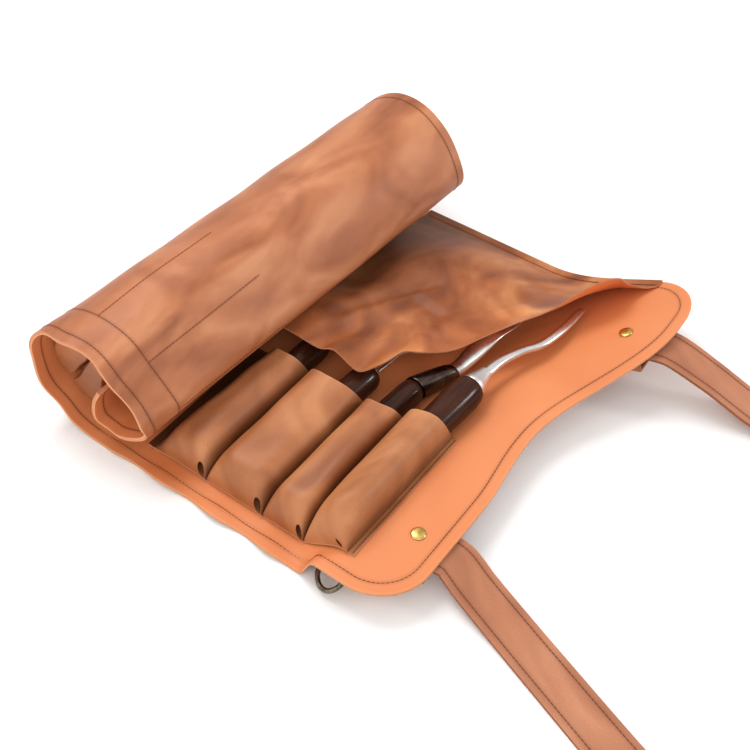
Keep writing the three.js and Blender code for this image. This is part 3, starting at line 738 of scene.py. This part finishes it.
rolled_flap = thick_sheet(
    "rolled_flap_skin", lambda y, t: rolled_at(t, y, 13 + ripple(t * PATTERN_RUN, y, 45, 21)),
    lambda y, t: rolled_at(t, y, 14.4 + ripple(t * PATTERN_RUN, y, 45, 21)),
    spaced(-31, 163, 5), np.linspace(0.16, 0.6, 110), [FLAP_BROWN, TAN, BROWN_EDGE], rolled_uv,
    {"seam": lambda y, t: np.full(np.broadcast(t, y).shape, 99.0), "edge": lambda y, t: y + 31})
ride(rolled_flap, "roll", "outer_leather", "rolled_flap")


# ---------- pocket strip ----------
def pocket_profile(s, v, first, last):
    """Share of a pocket's height from its left seam to its right: a shoulder, a flat top and a steep wall."""
    v = np.clip(v, 0, 1)
    left, right, power, drop = (0.4, 0.5, 2.6, 0.42) if last else (0.36, 0.6, 3, 0.4)
    if first:
        rising = ease((s - mix(0.03, 0.15, v)) / 0.4, 0, 1) ** 0.7
    else:
        rising = (1 - np.clip(1 - s / left, 0, 1) ** 2.4) ** 0.55
    falling = np.maximum(0, 1 - np.clip((s - right) / (1 - right), 0, 1) ** power) ** drop
    return rising * falling


def pocket_share(x, v):
    share, height = np.zeros(np.shape(x)), np.full(np.shape(x), float(POCKET_HEIGHTS[0]))
    for k in range(4):
        a, b = POCKET_EDGES[k], POCKET_EDGES[k + 1]
        inside = (x > a) & (x < b)
        share = np.where(inside, pocket_profile((x - a) / (b - a), v, k == 0, k == 3), share)
        height = np.where(inside, POCKET_HEIGHTS[k], height)
    return share, height


def pocket_place(x, v):
    """y and the height above the sheet of the pleated strip, v running from its bottom to its mouth."""
    share, height = pocket_share(x, v)
    y = mix(POCKET_BOTTOM, POCKET_TOP - POCKET_RECESS * share, v)
    rise = np.clip((y - POCKET_BOTTOM) / (POCKET_SHOULDER - POCKET_BOTTOM), 0, 1)
    opened = mix(0.05, 1, np.sqrt(1 - (1 - rise) ** 2) ** 0.9)
    slack = 1 + 0.035 * ripple(x, y, 38, 8) * ease(y, -150, -130)
    dimple = 6.5 * np.exp(-((x - 78) / 6.5) ** 2 - ((y + 138) / 7) ** 2)
    return y, height * share * opened * slack - dimple * share * opened


def pocket_face(above):
    def place(x, v):
        y, height = pocket_place(x, v)
        return on_sheet(x, y, ON_LINING - 0.5 + above + height)
    return place


def pocket_columns():
    s = np.concatenate([[0, 0.008, 0.02, 0.04, 0.07, 0.1, 0.14], np.linspace(0.19, 0.81, 18),
                        [0.85, 0.89, 0.92, 0.945, 0.965, 0.98, 0.99, 0.996]])
    found = [np.array([POCKET_EDGES[0] - 4, POCKET_EDGES[0] - 2])]
    for k in range(4):
        found.append(mix(POCKET_EDGES[k], POCKET_EDGES[k + 1], s))
    found.append(POCKET_EDGES[4] + np.array([0, 0.7, 1.5, 3, 4.3, 5]))
    return np.concatenate(found)


def pocket_seam(x, v):
    found = np.full(np.shape(x), 99.0)
    for line in POCKET_EDGES:
        found = np.minimum(found, np.abs(x - line))
    return np.minimum(found, np.where(x > POCKET_EDGES[4], np.abs(x - POCKET_EDGES[4] - 3), 99))


def pocket_shade(x, v):
    """Painted shade: darker beside the roll, where the roll's shadow falls, and along the seams and down the
    steep walls, where shade falls.
    """
    beside = 0.9 * (1 - ease(x - mix(0, 9, v), -80, -64))
    wall = np.zeros(np.shape(x))
    for k in range(3):
        a, b = POCKET_EDGES[k], POCKET_EDGES[k + 1]
        s = (x - a) / (b - a)
        wall = np.maximum(wall, np.where((s > 0) & (s < 1), 0.5 * ease(s, 0.86, 0.99), 0))
        following = (x - b) / (POCKET_EDGES[k + 2] - b)
        in_next = (following >= 0) & (following < 1)
        wall = np.maximum(wall, np.where(in_next, 0.35 * (1 - ease(following, 0, 0.1)), 0))
    return np.maximum(beside, wall)


def pocket_uv(x, v):
    y, height = pocket_place(x, v)
    return x * 1.3 + 100 + 0.9 * height, y + 200


pocket_rows = np.concatenate([[0, 0.0035, 0.009, 0.018, 0.03, 0.047, 0.07, 0.095, 0.12, 0.15, 0.185],
                              np.linspace(0.225, 0.965, 17), [0.985, 1]])
pockets = thick_sheet(
    "pocket_strip_skin", pocket_face(0), pocket_face(POCKET_THICK), pocket_columns(), pocket_rows,
    [POCKET, POCKET_INSIDE_SHADE, BROWN_EDGE], pocket_uv,
    {"seam": pocket_seam, "edge": lambda x, v: (1 - v) * 100, "shade": pocket_shade})
cutters = []
for k, (x, wide) in enumerate([(-35.8, 2.3), (12.8, 2.3), (47.4, 2.0), (80.5, 1.2)]):
    y, height = pocket_place(np.array(x), np.array(0.03))
    low = float(lift(x, -148)) + ON_LINING
    bpy.ops.mesh.primitive_uv_sphere_add(segments=32, ring_count=18, radius=1, location=(0, 0, 0))
    cutter = bpy.context.object
    cutter.scale = (wide * MM, 4.6 * MM, (6.6 if k < 3 else 3.6) * MM)
    cutter.rotation_euler = (math.radians(-25), math.radians(-20 if k < 3 else -50), math.radians(-14))
    cutter.location = (x * MM, -147.6 * MM, (low + (7.4 if k < 3 else 5.5)) * MM)
    cutters.append(cutter)
with_hole_cut(pockets, cutters)
pockets.data.shade_smooth()
pockets.data.set_sharp_from_angle(angle=math.radians(45))
ride(pockets, "case", "outer_leather", "pocket_strip")

# ---------- flap ----------
FREE_EDGE = Curve([(-62, -32), (-40, -32), (-8, -32.5), (10, -30), (24, -6), (46, 17), (68, 46), (90, 86),
                   (110, 124), (123, 147), (133, 159.5)])


# creases of the flap: from and to in plan, half width, height
FLAP_CREASES = [
    (-43, 0, -21, 37, 4.5, -3.2),
    (-21, 37, 3, 72, 3.4, -2.6),
    (-32, 2, -13, 37, 5.0, 1.6),
    (-13, 37, 6, 67, 4.0, 1.5),
    (5, 93, 32, 56, 3.6, -2.6),
    (2, 88, 24, 56, 3.4, 1.3),
    (-7, 47, 25, 42, 4.0, -2.0),
    (-7, 54, 24, 51, 4.0, 1.3),
    (26, 89, 64, 90, 4.6, -1.8),
    (23, 79, 58, 82, 4.2, 1.2),
    (28, 23, 43, 57, 5.0, 2.4),
    (43, 57, 70, 89, 4.6, 2.2),
    (-25, -13, -3, 19, 6.0, -1.6),
    (41, 122, 84, 127, 5.0, -1.2)]


def flap_creases(x, y):
    total = np.zeros(np.shape(x))
    for x0, y0, x1, y1, wide, high in FLAP_CREASES:
        ahead = np.array([x1 - x0, y1 - y0], float)
        share = ((x - x0) * ahead[0] + (y - y0) * ahead[1]) / (ahead ** 2).sum()
        t = np.clip(share, 0, 1)
        away = np.hypot(x - x0 - t * ahead[0], y - y0 - t * ahead[1])
        fade = ease(share, -0.12, 0.15) * (1 - ease(share, 0.85, 1.12))
        total += 0.8 * high * fade * np.exp(-(away / (1.45 * wide)) ** 2)
    return total


def flap_plan(u, v):
    edge = FREE_EDGE(u)
    run = u * 300
    loose = v ** 3
    wave = 2.4 * np.sin(2 * math.pi * run / SCALLOP + 0.6) * ease(u, 0.25, 0.4) * (1 - ease(u, 0.75, 0.95))
    x = mix(mix(-70, 134, u), edge[..., 0] + wave * loose * 0.8, v)
    y = mix(FLAP_SEWN_Y, edge[..., 1] - wave * loose * 0.6, v)
    return x, y


def flap_face(above):
    def place(u, v):
        x, y = flap_plan(u, v)
        rise = FLAP_RISE * (1 - (1 - np.clip((161 - y) / (1.35 * FLAP_SLOPE), 0, 1)) ** 1.6)
        depth = np.maximum(161 - FREE_EDGE(u)[..., 1], 3)
        steep = FLAP_RISE * np.minimum(1, depth / 27) * np.clip((161 - y) / depth, 0, 1.05) ** 1.7
        steep *= 1 - 0.68 * ease(u, 0.79, 0.98)
        rise = mix(rise, steep, ease(u, 0.5, 0.78))
        by_roll = (1 - ease(x, -66, -18)) * ease(y, 5, 45) * 0.42
        rise = rise * (1 - by_roll)
        loose = ease(161 - y, 8, 40)
        folds = 1.3 * ripple(x * 0.9 + y * 0.5, y * 0.8 - x * 0.5, 50, 31) + flap_creases(x, y)
        hem = 1.9 * np.sin(2 * math.pi * u * 300 / SCALLOP + 2.0) * v ** 6 * ease(u, 0.2, 0.35) \
            * (1 - ease(u, 0.8, 1))
        hem += 2.6 * ease(v, 0.86, 1.0) ** 1.5 * ease(u, 0.5, 0.66) * (1 - ease(u, 0.78, 0.92))
        pinch = 6.5 * np.exp(-((x + 15) / 9) ** 2) + 4.5 * np.exp(-((x - 21) / 6.5) ** 2) \
            - 2.5 * np.exp(-((x - 7) / 6) ** 2)
        hem += pinch * ease(v, 0.72, 1.0) ** 2 * (y < 20)
        z = lift(x, y) + ON_LINING - 0.35 + above + rise + loose * (1.2 + folds * (1 - 0.5 * by_roll)) \
            + hem + 0.3
        return np.stack([x, y, z], -1)
    return place


def flap_shade(u, v):
    """Painted shade: the flap is darker where it runs in under the roll, in the roll's shadow. Painted light:
    a patch along the middle of the free edge is lighter.
    """
    x, y = flap_plan(u, v)
    # Painted light: this patch near the middle of the free edge is made lighter.
    painted_light = ease(v, 0.62, 0.85) * ease(u, 0.3, 0.5) * (1 - ease(u, 0.72, 0.9))
    return 0.62 * (1 - ease(x - 0.12 * (y - 60), -62, 34)) * ease(y, -30, 60) - 0.2 * painted_light


flap = thick_sheet(
    "flap_skin", flap_face(0), flap_face(FLAP_THICK), np.linspace(0, 1, 160),
    np.concatenate([[0, 0.008, 0.018, 0.03, 0.04, 0.05], np.linspace(0.065, 0.97, 90), [0.98, 0.99, 1.0]]),
    [FLAP_BROWN, TAN, BROWN_EDGE], lambda u, v: (flap_plan(u, v)[0] + 60, flap_plan(u, v)[1] + 30),
    {"seam": lambda u, v: np.abs(HALF_WIDTH - STITCH_IN - flap_plan(u, v)[1]),
     "edge": lambda u, v: (1 - v) * 120, "shade": flap_shade})
flap.data.flip_normals()
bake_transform(flap)
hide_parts("flap_panel", "flap_corner")

# ---------- straps ----------
STRAP_ROUTES = {
    "near": [(138.5, -111.3, 15), (159, -116.7, 8.8), (190, -125, 1.6), (225, -137, 0.2), (300, -163, 0),
             (380, -186, 0), (462, -203, 0)],
    "far": [(170, 110, 34.6), (200, 113, 24.5), (236, 117, 8.5), (272, 120, 0.8), (330, 122, 0),
            (410, 119, 0), (492, 110, 0)]}
STRAP_ROOTS = {"near": (98.5, 128), "far": (123, 147)}
STRAP_BENDS = {"near": [], "far": [(158.5, 107.6, 34.9)]}
STRAP_HOLES = [0.64, 0.71, 0.78, 0.85, 0.92]


def strap_parts(side):
    y = RIVETS[side][1]
    start, end = STRAP_ROOTS[side]
    root = [(x, y, float(lift(x, y)) - 0.6 - STRAP_THICK) for x in np.linspace(start, end, 4)]
    route = Curve(root + STRAP_BENDS[side] + STRAP_ROUTES[side])
    own = Curve(STRAP_ROUTES[side])
    return route, route.length(), own.length()


def strap_face(side, above):
    route, length, own = strap_parts(side)
    y0 = RIVETS[side][1]

    def place(s, v):
        t = route.at_length(s)
        p = route(t)
        before, after = (route(route.at_length(np.clip(s + d, 0, 1))) for d in (-0.003, 0.003))
        tangent = unit(after - before)
        sideways = unit(np.stack([-tangent[..., 1], tangent[..., 0], np.zeros_like(s)], -1))
        slope = (lift(p[..., 0], y0 + 15) - lift(p[..., 0], y0 - 15)) / 30
        sideways[..., 2] = slope * (1 - ease(p[..., 0], STRAP_ROOTS[side][1], STRAP_ROOTS[side][1] + 60))
        left = (1 - s) * length
        half = np.where(left < STRAP_TIP,
                        mix(4, STRAP_HALF, np.sqrt(np.clip(1 - ((STRAP_TIP - left) / STRAP_TIP) ** 2, 0, 1))),
                        STRAP_HALF)
        up = unit(np.cross(tangent, sideways))
        crown = 0.35 * (1 - np.abs(v) ** 4) - 0.3 * (np.abs(v) > 0.99)
        lifted = np.asarray(above + (crown if above > 0 else 0))
        return p + sideways * (v * half)[..., None] + up * lifted[..., None]
    return place, length, own


for side in ("near", "far"):
    low, length, own = strap_face(side, 0.0)
    high = strap_face(side, STRAP_THICK)[0]
    tip = 1 - STRAP_TIP / length
    us = np.concatenate([np.linspace(0, 0.4, 70), np.linspace(0.4, tip, 60)[1:],
                         tip + (1 - tip) * np.sin(np.linspace(0, math.pi / 2, 12))[1:]])
    vs = np.array([-1, -0.97, -0.88, -0.74, -0.7, -0.66, -0.4, 0, 0.4, 0.66, 0.7, 0.74, 0.88, 0.97, 1])
    strap = thick_sheet("strap_" + side + "_skin", low, high, us, vs, [STRAP_BROWN, STRAP_BROWN, STRAP_EDGE],
                        lambda s, v, length=length: (s * length + 40, v * 15 + 70),
                        {"seam": lambda s, v: np.abs(np.abs(v) - 0.7) * 15,
                         "edge": lambda s, v: (1 - np.abs(v)) * 15})
    cutters = []
    for hole in STRAP_HOLES:
        s = np.array(1 - (1 - hole) * own / length)
        centre = low(s, np.array(0.0)) * MM
        bpy.ops.mesh.primitive_cylinder_add(vertices=40, radius=STRAP_HOLE_R * MM, depth=0.02,
                                            location=centre)
        cutters.append(bpy.context.object)
    with_hole_cut(strap, cutters)
    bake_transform(strap)
    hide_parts("strap_root_" + side, "strap_" + side)
    rows = []
    for v in (-0.7, 0.7):
        s = np.linspace(0.01, 1 - 6 / length, 500)
        upper, lower = high(s, np.full_like(s, v)), low(s, np.full_like(s, v))
        rows += [(upper, upper - lower), (lower, lower - upper)]
    made = stitches("strap_" + side + "_stitches", rows, THREAD)
    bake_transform(made)

# ---------- stitching ----------
def sheet_normal(x, y):
    d = 1.0
    along_x = on_sheet(x + d, y, 0) - on_sheet(x - d, y, 0)
    along_y = on_sheet(x, y + d, 0) - on_sheet(x, y - d, 0)
    return unit(np.cross(along_x, along_y))


line = inset_line(STITCH_IN)
on_flap = (line[:, 0] < 133) & (line[:, 1] > 140)
hidden = (line[:, 0] < roll_line(line[:, 1]) + 1)
low_part = line[~on_flap & ~hidden]
normal = sheet_normal(low_part[:, 0], low_part[:, 1])
edge_top = on_sheet(low_part[:, 0], low_part[:, 1], LINING_TOP)
edge_low = on_sheet(low_part[:, 0], low_part[:, 1], 0)
rows = [(edge_top, normal), (edge_low, -normal)]
for x in POCKET_EDGES:
    y = np.linspace(POCKET_BOTTOM + 1, POCKET_TOP, 60)
    xs = np.full_like(y, x)
    for sewn in ([x, x + 3.4] if x == POCKET_EDGES[4] else [x]):
        line_x = np.full_like(y, sewn)
        rows.append((on_sheet(line_x, y, ON_LINING + POCKET_THICK - 0.5), sheet_normal(line_x, y)))
    rows.append((on_sheet(xs, y, 0), -sheet_normal(xs, y)))
ride(stitches("flat_stitches", rows, THREAD), "case", "outer_leather")

far_line = line[on_flap & (line[:, 0] > -70)]
u = np.clip((far_line[:, 0] + 70) / 204, 0, 1)
flap_top = flap_face(FLAP_THICK)
depth = np.maximum(FLAP_SEWN_Y - FREE_EDGE(u)[:, 1], 9)
v = np.clip((FLAP_SEWN_Y - (HALF_WIDTH - STITCH_IN)) / depth, 0, 0.9)
sewn = flap_top(u, v) + np.array([0, -0.1, 0.25])
sewn_up = np.tile([0.0, 0.25, 1], (len(sewn), 1))
ride(stitches("flap_stitches", [(sewn, sewn_up)], THREAD), "case", "outer_leather")


def rolled_row(t, y, above, sign):
    t, y = np.broadcast_arrays(np.asarray(t, float), np.asarray(y, float))
    return rolled_at(t, y + rim_pull(t, y), above), rolled_normal(t, y) * sign


rows = []
t = np.linspace(0.03, 0.985, 900)
for y in (-HALF_WIDTH + STITCH_IN, HALF_WIDTH - STITCH_IN):
    rows += [rolled_row(t, y, 0, -1), rolled_row(t, y, LINING_TOP, 1)]
end = 1 - STITCH_IN / SEAM_RUN
y = np.linspace(-HALF_WIDTH + STITCH_IN, HALF_WIDTH - STITCH_IN, 200)
rows += [rolled_row(end, y, 0, -1), rolled_row(end, y, LINING_TOP, 1)]
rows.append(rolled_row(np.linspace(0.1, 0.72, 500), SECOND_ROW_Y, 0, -1))
for t_line in ROLL_LINES.values():
    rows.append(rolled_row(t_line, np.linspace(SECOND_ROW_Y, -37, 80), 0, -1))
made = stitches("rolled_stitches", rows, THREAD)
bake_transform(made)

# ---------- tools ----------
# butt x and z, yaw, handle radius and length, ferrule (length, radii, lean sideways and up), and the
# blade's own path from the ferrule: sideways, along, up, half width, half thickness
TOOLS = {
    "tool_1": (-46, 13.8, -0.03, 10.3, 120, (13, 7.2, 4.4, 0, 0), [
        (0, 0, 0, 4, 1.5), (0, 30, 0, 4, 1.2), (0, 42, 0, 10, 0.7), (0, 90, 0, 11, 0.6),
        (0, 105, 0, 4, 0.6)]),
    "tool_2": (-4.5, 14.2, -0.08, 10.6, 117, (4, 4.2, 3, 0, 0), [
        (3, 0, 1, 1.3, 1.2), (3, 20, 1, 1.3, 1.1), (2, 34, 0, 6, 0.8), (0, 90, 0, 9, 0.7),
        (0, 104, 0, 4, 0.6)]),
    "tool_3": (29, 14.6, -0.072, 9.5, 124, (30, 9.2, 6.4, 9.6, -1.3), [
        (9.2, 0, -1.3, 5.8, 4.2), (11.2, 7, 0.5, 6, 3.8), (13.6, 17, 6.2, 6.8, 3.2),
        (15.2, 27, 11, 7.2, 2.4), (15.6, 37, 13, 7.4, 1.6), (15.3, 53, 10.5, 8, 0.9),
        (13, 70, 6, 8.5, 0.8), (11, 84, 1.5, 4, 0.7)]),
    "tool_4": (69.2, 31.2, -0.052, 12, 135, (17, 8.6, 4.6, 0, 0), [
        (0.5, 0, 0, 3.9, 3.4), (1.8, 14, 0, 3.4, 3), (7, 31, 0, 3.2, 2.8), (14, 45, 0, 3.2, 2.6),
        (16.8, 66, -1, 3.2, 2.3),
        (15.8, 84, -4, 3.2, 1.9), (14.8, 92, -5, 3.2, 1.5), (14.5, 100, -6.5, 2.4, 1.1)])}
TOOL_BUTT_Y = -133

for name, (x, z, yaw, r, long, (ferrule, wide, narrow, lean_side, lean_up), bend) in TOOLS.items():
    turn_round = np.array(Matrix.Rotation(yaw, 3, "Z"))

    def place(points, turn_round=turn_round, x=x, z=z):
        return np.asarray(points) @ turn_round.T + np.array([x, TOOL_BUTT_Y, z])

    outline = Curve([(0.05, 0), (r * .6, 1.2), (r * .9, 5), (r, 12), (r * .97, long * .3),
                     (r * .94, long * .55), (r, long * .85), (r * .99, long - 8), (r * .94, long - 3.4),
                     (r * .84, long - 0.6)])
    profile = [tuple(p) for p in outline(np.linspace(0, 1, 80))] + [(r * 0.78, long)]
    ride(lathe(name + "_wood", profile, WOOD, place=place), name, "handle_wood", name + "_handle")

    def lean(points, place=place, long=long, ferrule=ferrule, lean_side=lean_side, lean_up=lean_up):
        p = np.array(points)
        share = (p[:, 1] - long - 0.3) / ferrule
        p[:, 0] += share * lean_side
        p[:, 2] += share * lean_up
        return place(p)

    f = long + 0.3
    full = 0.55 if name == "tool_3" else 1
    outline = Curve([(wide * .97, f), (wide, f + ferrule * .03), (wide * .99, f + ferrule * .14),
                     (mix(wide, narrow, .3 * full), f + ferrule * .35),
                     (mix(wide, narrow, .62 * full), f + ferrule * .6),
                     (mix(wide, narrow, .93 * mix(full, 1, .4)), f + ferrule * .9),
                     (narrow * .98, f + ferrule)])
    profile = [tuple(p) for p in outline(np.linspace(0, 1, 30))]
    collar_steel = DARK_STEEL if name == "tool_3" else BRUSHED_STEEL
    ride(lathe(name + "_collar", profile, collar_steel, place=lean), name, "tool_steel", name + "_ferrule")

    columns = np.array(bend, float)
    middle, size = Curve(columns[:, :3]), Curve(columns[:, [3, 4, 4]])
    t = np.linspace(0, 1, 90)
    path = middle(t) + np.array([0, long + ferrule + 0.6, 0])
    dims = size(t)
    side = np.tile([1.0, 0, 0], (len(t), 1))
    ahead = unit(np.gradient(path, axis=0))
    up = unit(np.cross(side, ahead))

    def section(k, dims=dims):
        half, thick = dims[k, 0], dims[k, 1]
        return [(half * math.copysign(abs(math.cos(a)) ** 0.85, math.cos(a)),
                 thick * math.copysign(abs(math.sin(a)) ** 0.95, math.sin(a)))
                for a in np.linspace(0, 2 * math.pi, 36, endpoint=False)]

    blade = swept(name + "_steel", place(path), side @ turn_round.T, up @ turn_round.T, section, [STEEL])
    ride(blade, name, "tool_steel", name + "_blade")


# ---------- rivets, ring, tab ----------
def frame_at(x, y):
    d = 4.0
    ax = unit(on_sheet(x + d, y, 0) - on_sheet(x - d, y, 0))
    ay = unit(on_sheet(x, y + d, 0) - on_sheet(x, y - d, 0))
    up = unit(np.cross(ax, ay))
    return on_sheet(x, y, 0), ax, np.cross(up, ax), up


CHAPE_LOW = -0.3 - STRAP_THICK - 0.9 - 0.3 - 8.2 - 0.3
for side in ("near", "far"):
    origin, ax, ay, up = frame_at(*RIVETS[side])
    basis = np.stack([ax, up, -ay], 0)

    def place(points, origin=origin, basis=basis):
        return points @ basis + origin

    top = LINING_TOP + 0.25
    dome = [(4.8, top), (4.9, top + .15), (4.8, top + .4), (4.5, top + .65), (4.0, top + .85),
            (3.2, top + 1.02), (2.2, top + 1.14), (1.1, top + 1.2), (0.05, top + 1.22)]
    profile = [(0.05, CHAPE_LOW - 1.2), (3.6, CHAPE_LOW - 1.2), (4, CHAPE_LOW - .9), (4, CHAPE_LOW),
               (2, CHAPE_LOW), (2, top)] + dome
    ride(lathe("rivet_" + side + "_dome", profile, BRASS, place=place, smooth_angle=35), "case", "brass",
         "rivet_" + side)

RING_WIRE, RING_TILT = 1.7, 1.04
RING_BAR = np.array([81.5, -156.5, 12.6])
tab_turn = np.array(Matrix.Rotation(-0.28, 3, "Y"))
ring_points = [(-9.5, 0), (0, 0), (9.5, 0), (10.3, -3), (9.3, -9), (5, -14), (0, -15.5), (-5, -14),
               (-9.3, -9), (-10.3, -3)]
ring_tilt = np.array(Matrix.Rotation(-RING_TILT, 3, "X"))
loop = np.array([(x, 0, z) for x, z in ring_points * 3], float)
ring_path = Curve(loop)(np.linspace(10 / 29, 20 / 29, 121)[:-1])
ring_tangent = unit(np.roll(ring_path, -1, 0) - np.roll(ring_path, 1, 0))
ring_up = np.tile([0.0, 1, 0], (len(ring_path), 1))
ring_side = np.cross(ring_tangent, ring_up)


def world(p):
    return (p @ ring_tilt.T) @ tab_turn.T


circle = [(RING_WIRE * math.cos(a), RING_WIRE * math.sin(a))
          for a in np.linspace(0, 2 * math.pi, 20, endpoint=False)]
ride(swept("carry_ring_wire", world(ring_path) + RING_BAR, world(ring_side), world(ring_up), lambda k: circle,
           [BRONZE], closed=True), "ring", "antique_steel", "carry_ring")

angles = np.linspace(-math.pi / 2, -3 * math.pi / 2, 20)


def tab_line(radius, half):
    """The tab's section: from its sewn end round the ring's bar and back."""
    bend = [(radius * math.cos(a), radius * math.sin(a)) for a in angles]
    line = [(22, -half), (7, -half)] + bend + [(7, half), (22, half)]
    return np.array([(0, x, z) for x, z in line])


tab_outer, tab_inner = tab_line(3.55, 2.4), tab_line(2.25, 0.6)
tab_u = np.arange(len(tab_outer), dtype=float)


def tab_face(line):
    def place(u, v):
        p = line[np.round(u).astype(int)].copy()
        p[..., 0] = v
        return p @ tab_turn.T + RING_BAR
    return place


tab = thick_sheet("ring_tab_loop", tab_face(tab_inner), tab_face(tab_outer), tab_u,
                  np.array([-5.5, -5.2, -4, 0, 4, 5.2, 5.5]), [STRAP_BROWN, TAN, TAN_EDGE],
                  lambda u, v: (u * 3, v + 20),
                  {"seam": lambda u, v: np.full(np.broadcast(u, v).shape, 99.0),
                   "edge": lambda u, v: 5.5 - np.abs(v)})
ride(tab, "case", "strap_leather", "ring_tab")

# ---------- leather bands under the lobes ----------
for side in ("near", "far"):
    for node_name in ("buckle_chape_" + side, "keeper_" + side):
        mesh = frame["nodes"][node_name].data.copy()
        mesh.materials.clear()
        mesh.materials.append(HIDDEN)
        band = bpy.data.objects.new(node_name + "_band", mesh)
        bpy.context.scene.collection.objects.link(band)
        rounded = band.modifiers.new("rounded", "BEVEL")
        rounded.width = 0.0005
        rounded.segments = 3
        rounded.limit_method = "ANGLE"
        ride(band, "case", "strap_leather", node_name)

# ---------- carried-over metal ----------
for node_name, obj in frame["nodes"].items():
    if obj.hide_render:
        continue
    obj.data.materials.clear()
    obj.data.materials.append(BRASS)
    soften = obj.modifiers.new("soften", "BEVEL")
    soften.width = 0.0003
    soften.segments = 2
    soften.limit_method = "ANGLE"

# ---------- floor, light and camera ----------
bpy.ops.mesh.primitive_plane_add(size=30, location=(0, 0, -0.0004))
floor = bpy.context.object
floor.name = "floor"
pale = Nodes("floor_paper")
paper = pale.noise(pale.add("TexCoord").outputs["Object"], 30, 2)
floor.data.materials.append(pale.set(
    Base_Color=pale.ramp(paper, [(0.3, grey(0.93)), (0.7, grey(0.945))]), Roughness=0.9,
    Specular_IOR_Level=0.1))

world_light = bpy.data.worlds.new("studio")
bpy.context.scene.world = world_light
world_light.use_nodes = True
sky = world_light.node_tree
coords = sky.nodes.new("ShaderNodeTexCoord")
split = sky.nodes.new("ShaderNodeSeparateXYZ")
dome_ramp = sky.nodes.new("ShaderNodeValToRGB")
dome_ramp.color_ramp.elements[0].position = 0.0
dome_ramp.color_ramp.elements[0].color = grey(0.42)
dome_ramp.color_ramp.elements[1].position = 0.75
dome_ramp.color_ramp.elements[1].color = grey(1.0)
sky.links.new(coords.outputs["Generated"], split.inputs[0])
sky.links.new(split.outputs["Z"], dome_ramp.inputs["Fac"])
sky.links.new(dome_ramp.outputs["Color"], sky.nodes["Background"].inputs["Color"])
sky.nodes["Background"].inputs["Strength"].default_value = 0.88


def area(name, place, target, size, power, colour=(1, 1, 1)):
    light = bpy.data.lights.new(name, "AREA")
    light.energy = power
    light.size = size
    light.color = colour
    obj = bpy.data.objects.new(name, light)
    obj.location = place
    obj.rotation_euler = (Vector(target) - Vector(place)).to_track_quat("-Z", "Y").to_euler()
    bpy.context.scene.collection.objects.link(obj)


area("key", (-0.75, 0.15, 1.5), (0, 0, 0), 0.7, 12)
area("fill", (0.9, -0.9, 1.2), (0, 0, 0), 1.0, 4)
area("near", (-0.35, -1.3, 0.7), (0, 0, 0.03), 0.9, 5.5, (1, 0.88, 0.76))
area("glint", (0.95, 0.66, 0.55), (0.05, 0, 0.02), 0.2, 3.2)

azimuth, elevation, distance = math.radians(36.5), math.radians(47.5), 0.825
target = Vector((0, -0.005, 0))
back = Vector((math.sin(azimuth) * math.cos(elevation), -math.cos(azimuth) * math.cos(elevation),
               math.sin(elevation)))
lens = bpy.data.cameras.new("camera")
lens.lens = 55
lens.sensor_width = 36
lens.clip_start = 0.01
camera = bpy.data.objects.new("camera", lens)
camera.location = target + back * distance
camera.rotation_euler = (-back).to_track_quat("-Z", "Y").to_euler()
bpy.context.scene.collection.objects.link(camera)
bpy.context.scene.camera = camera
bpy.context.scene.view_settings.view_transform = "Standard"
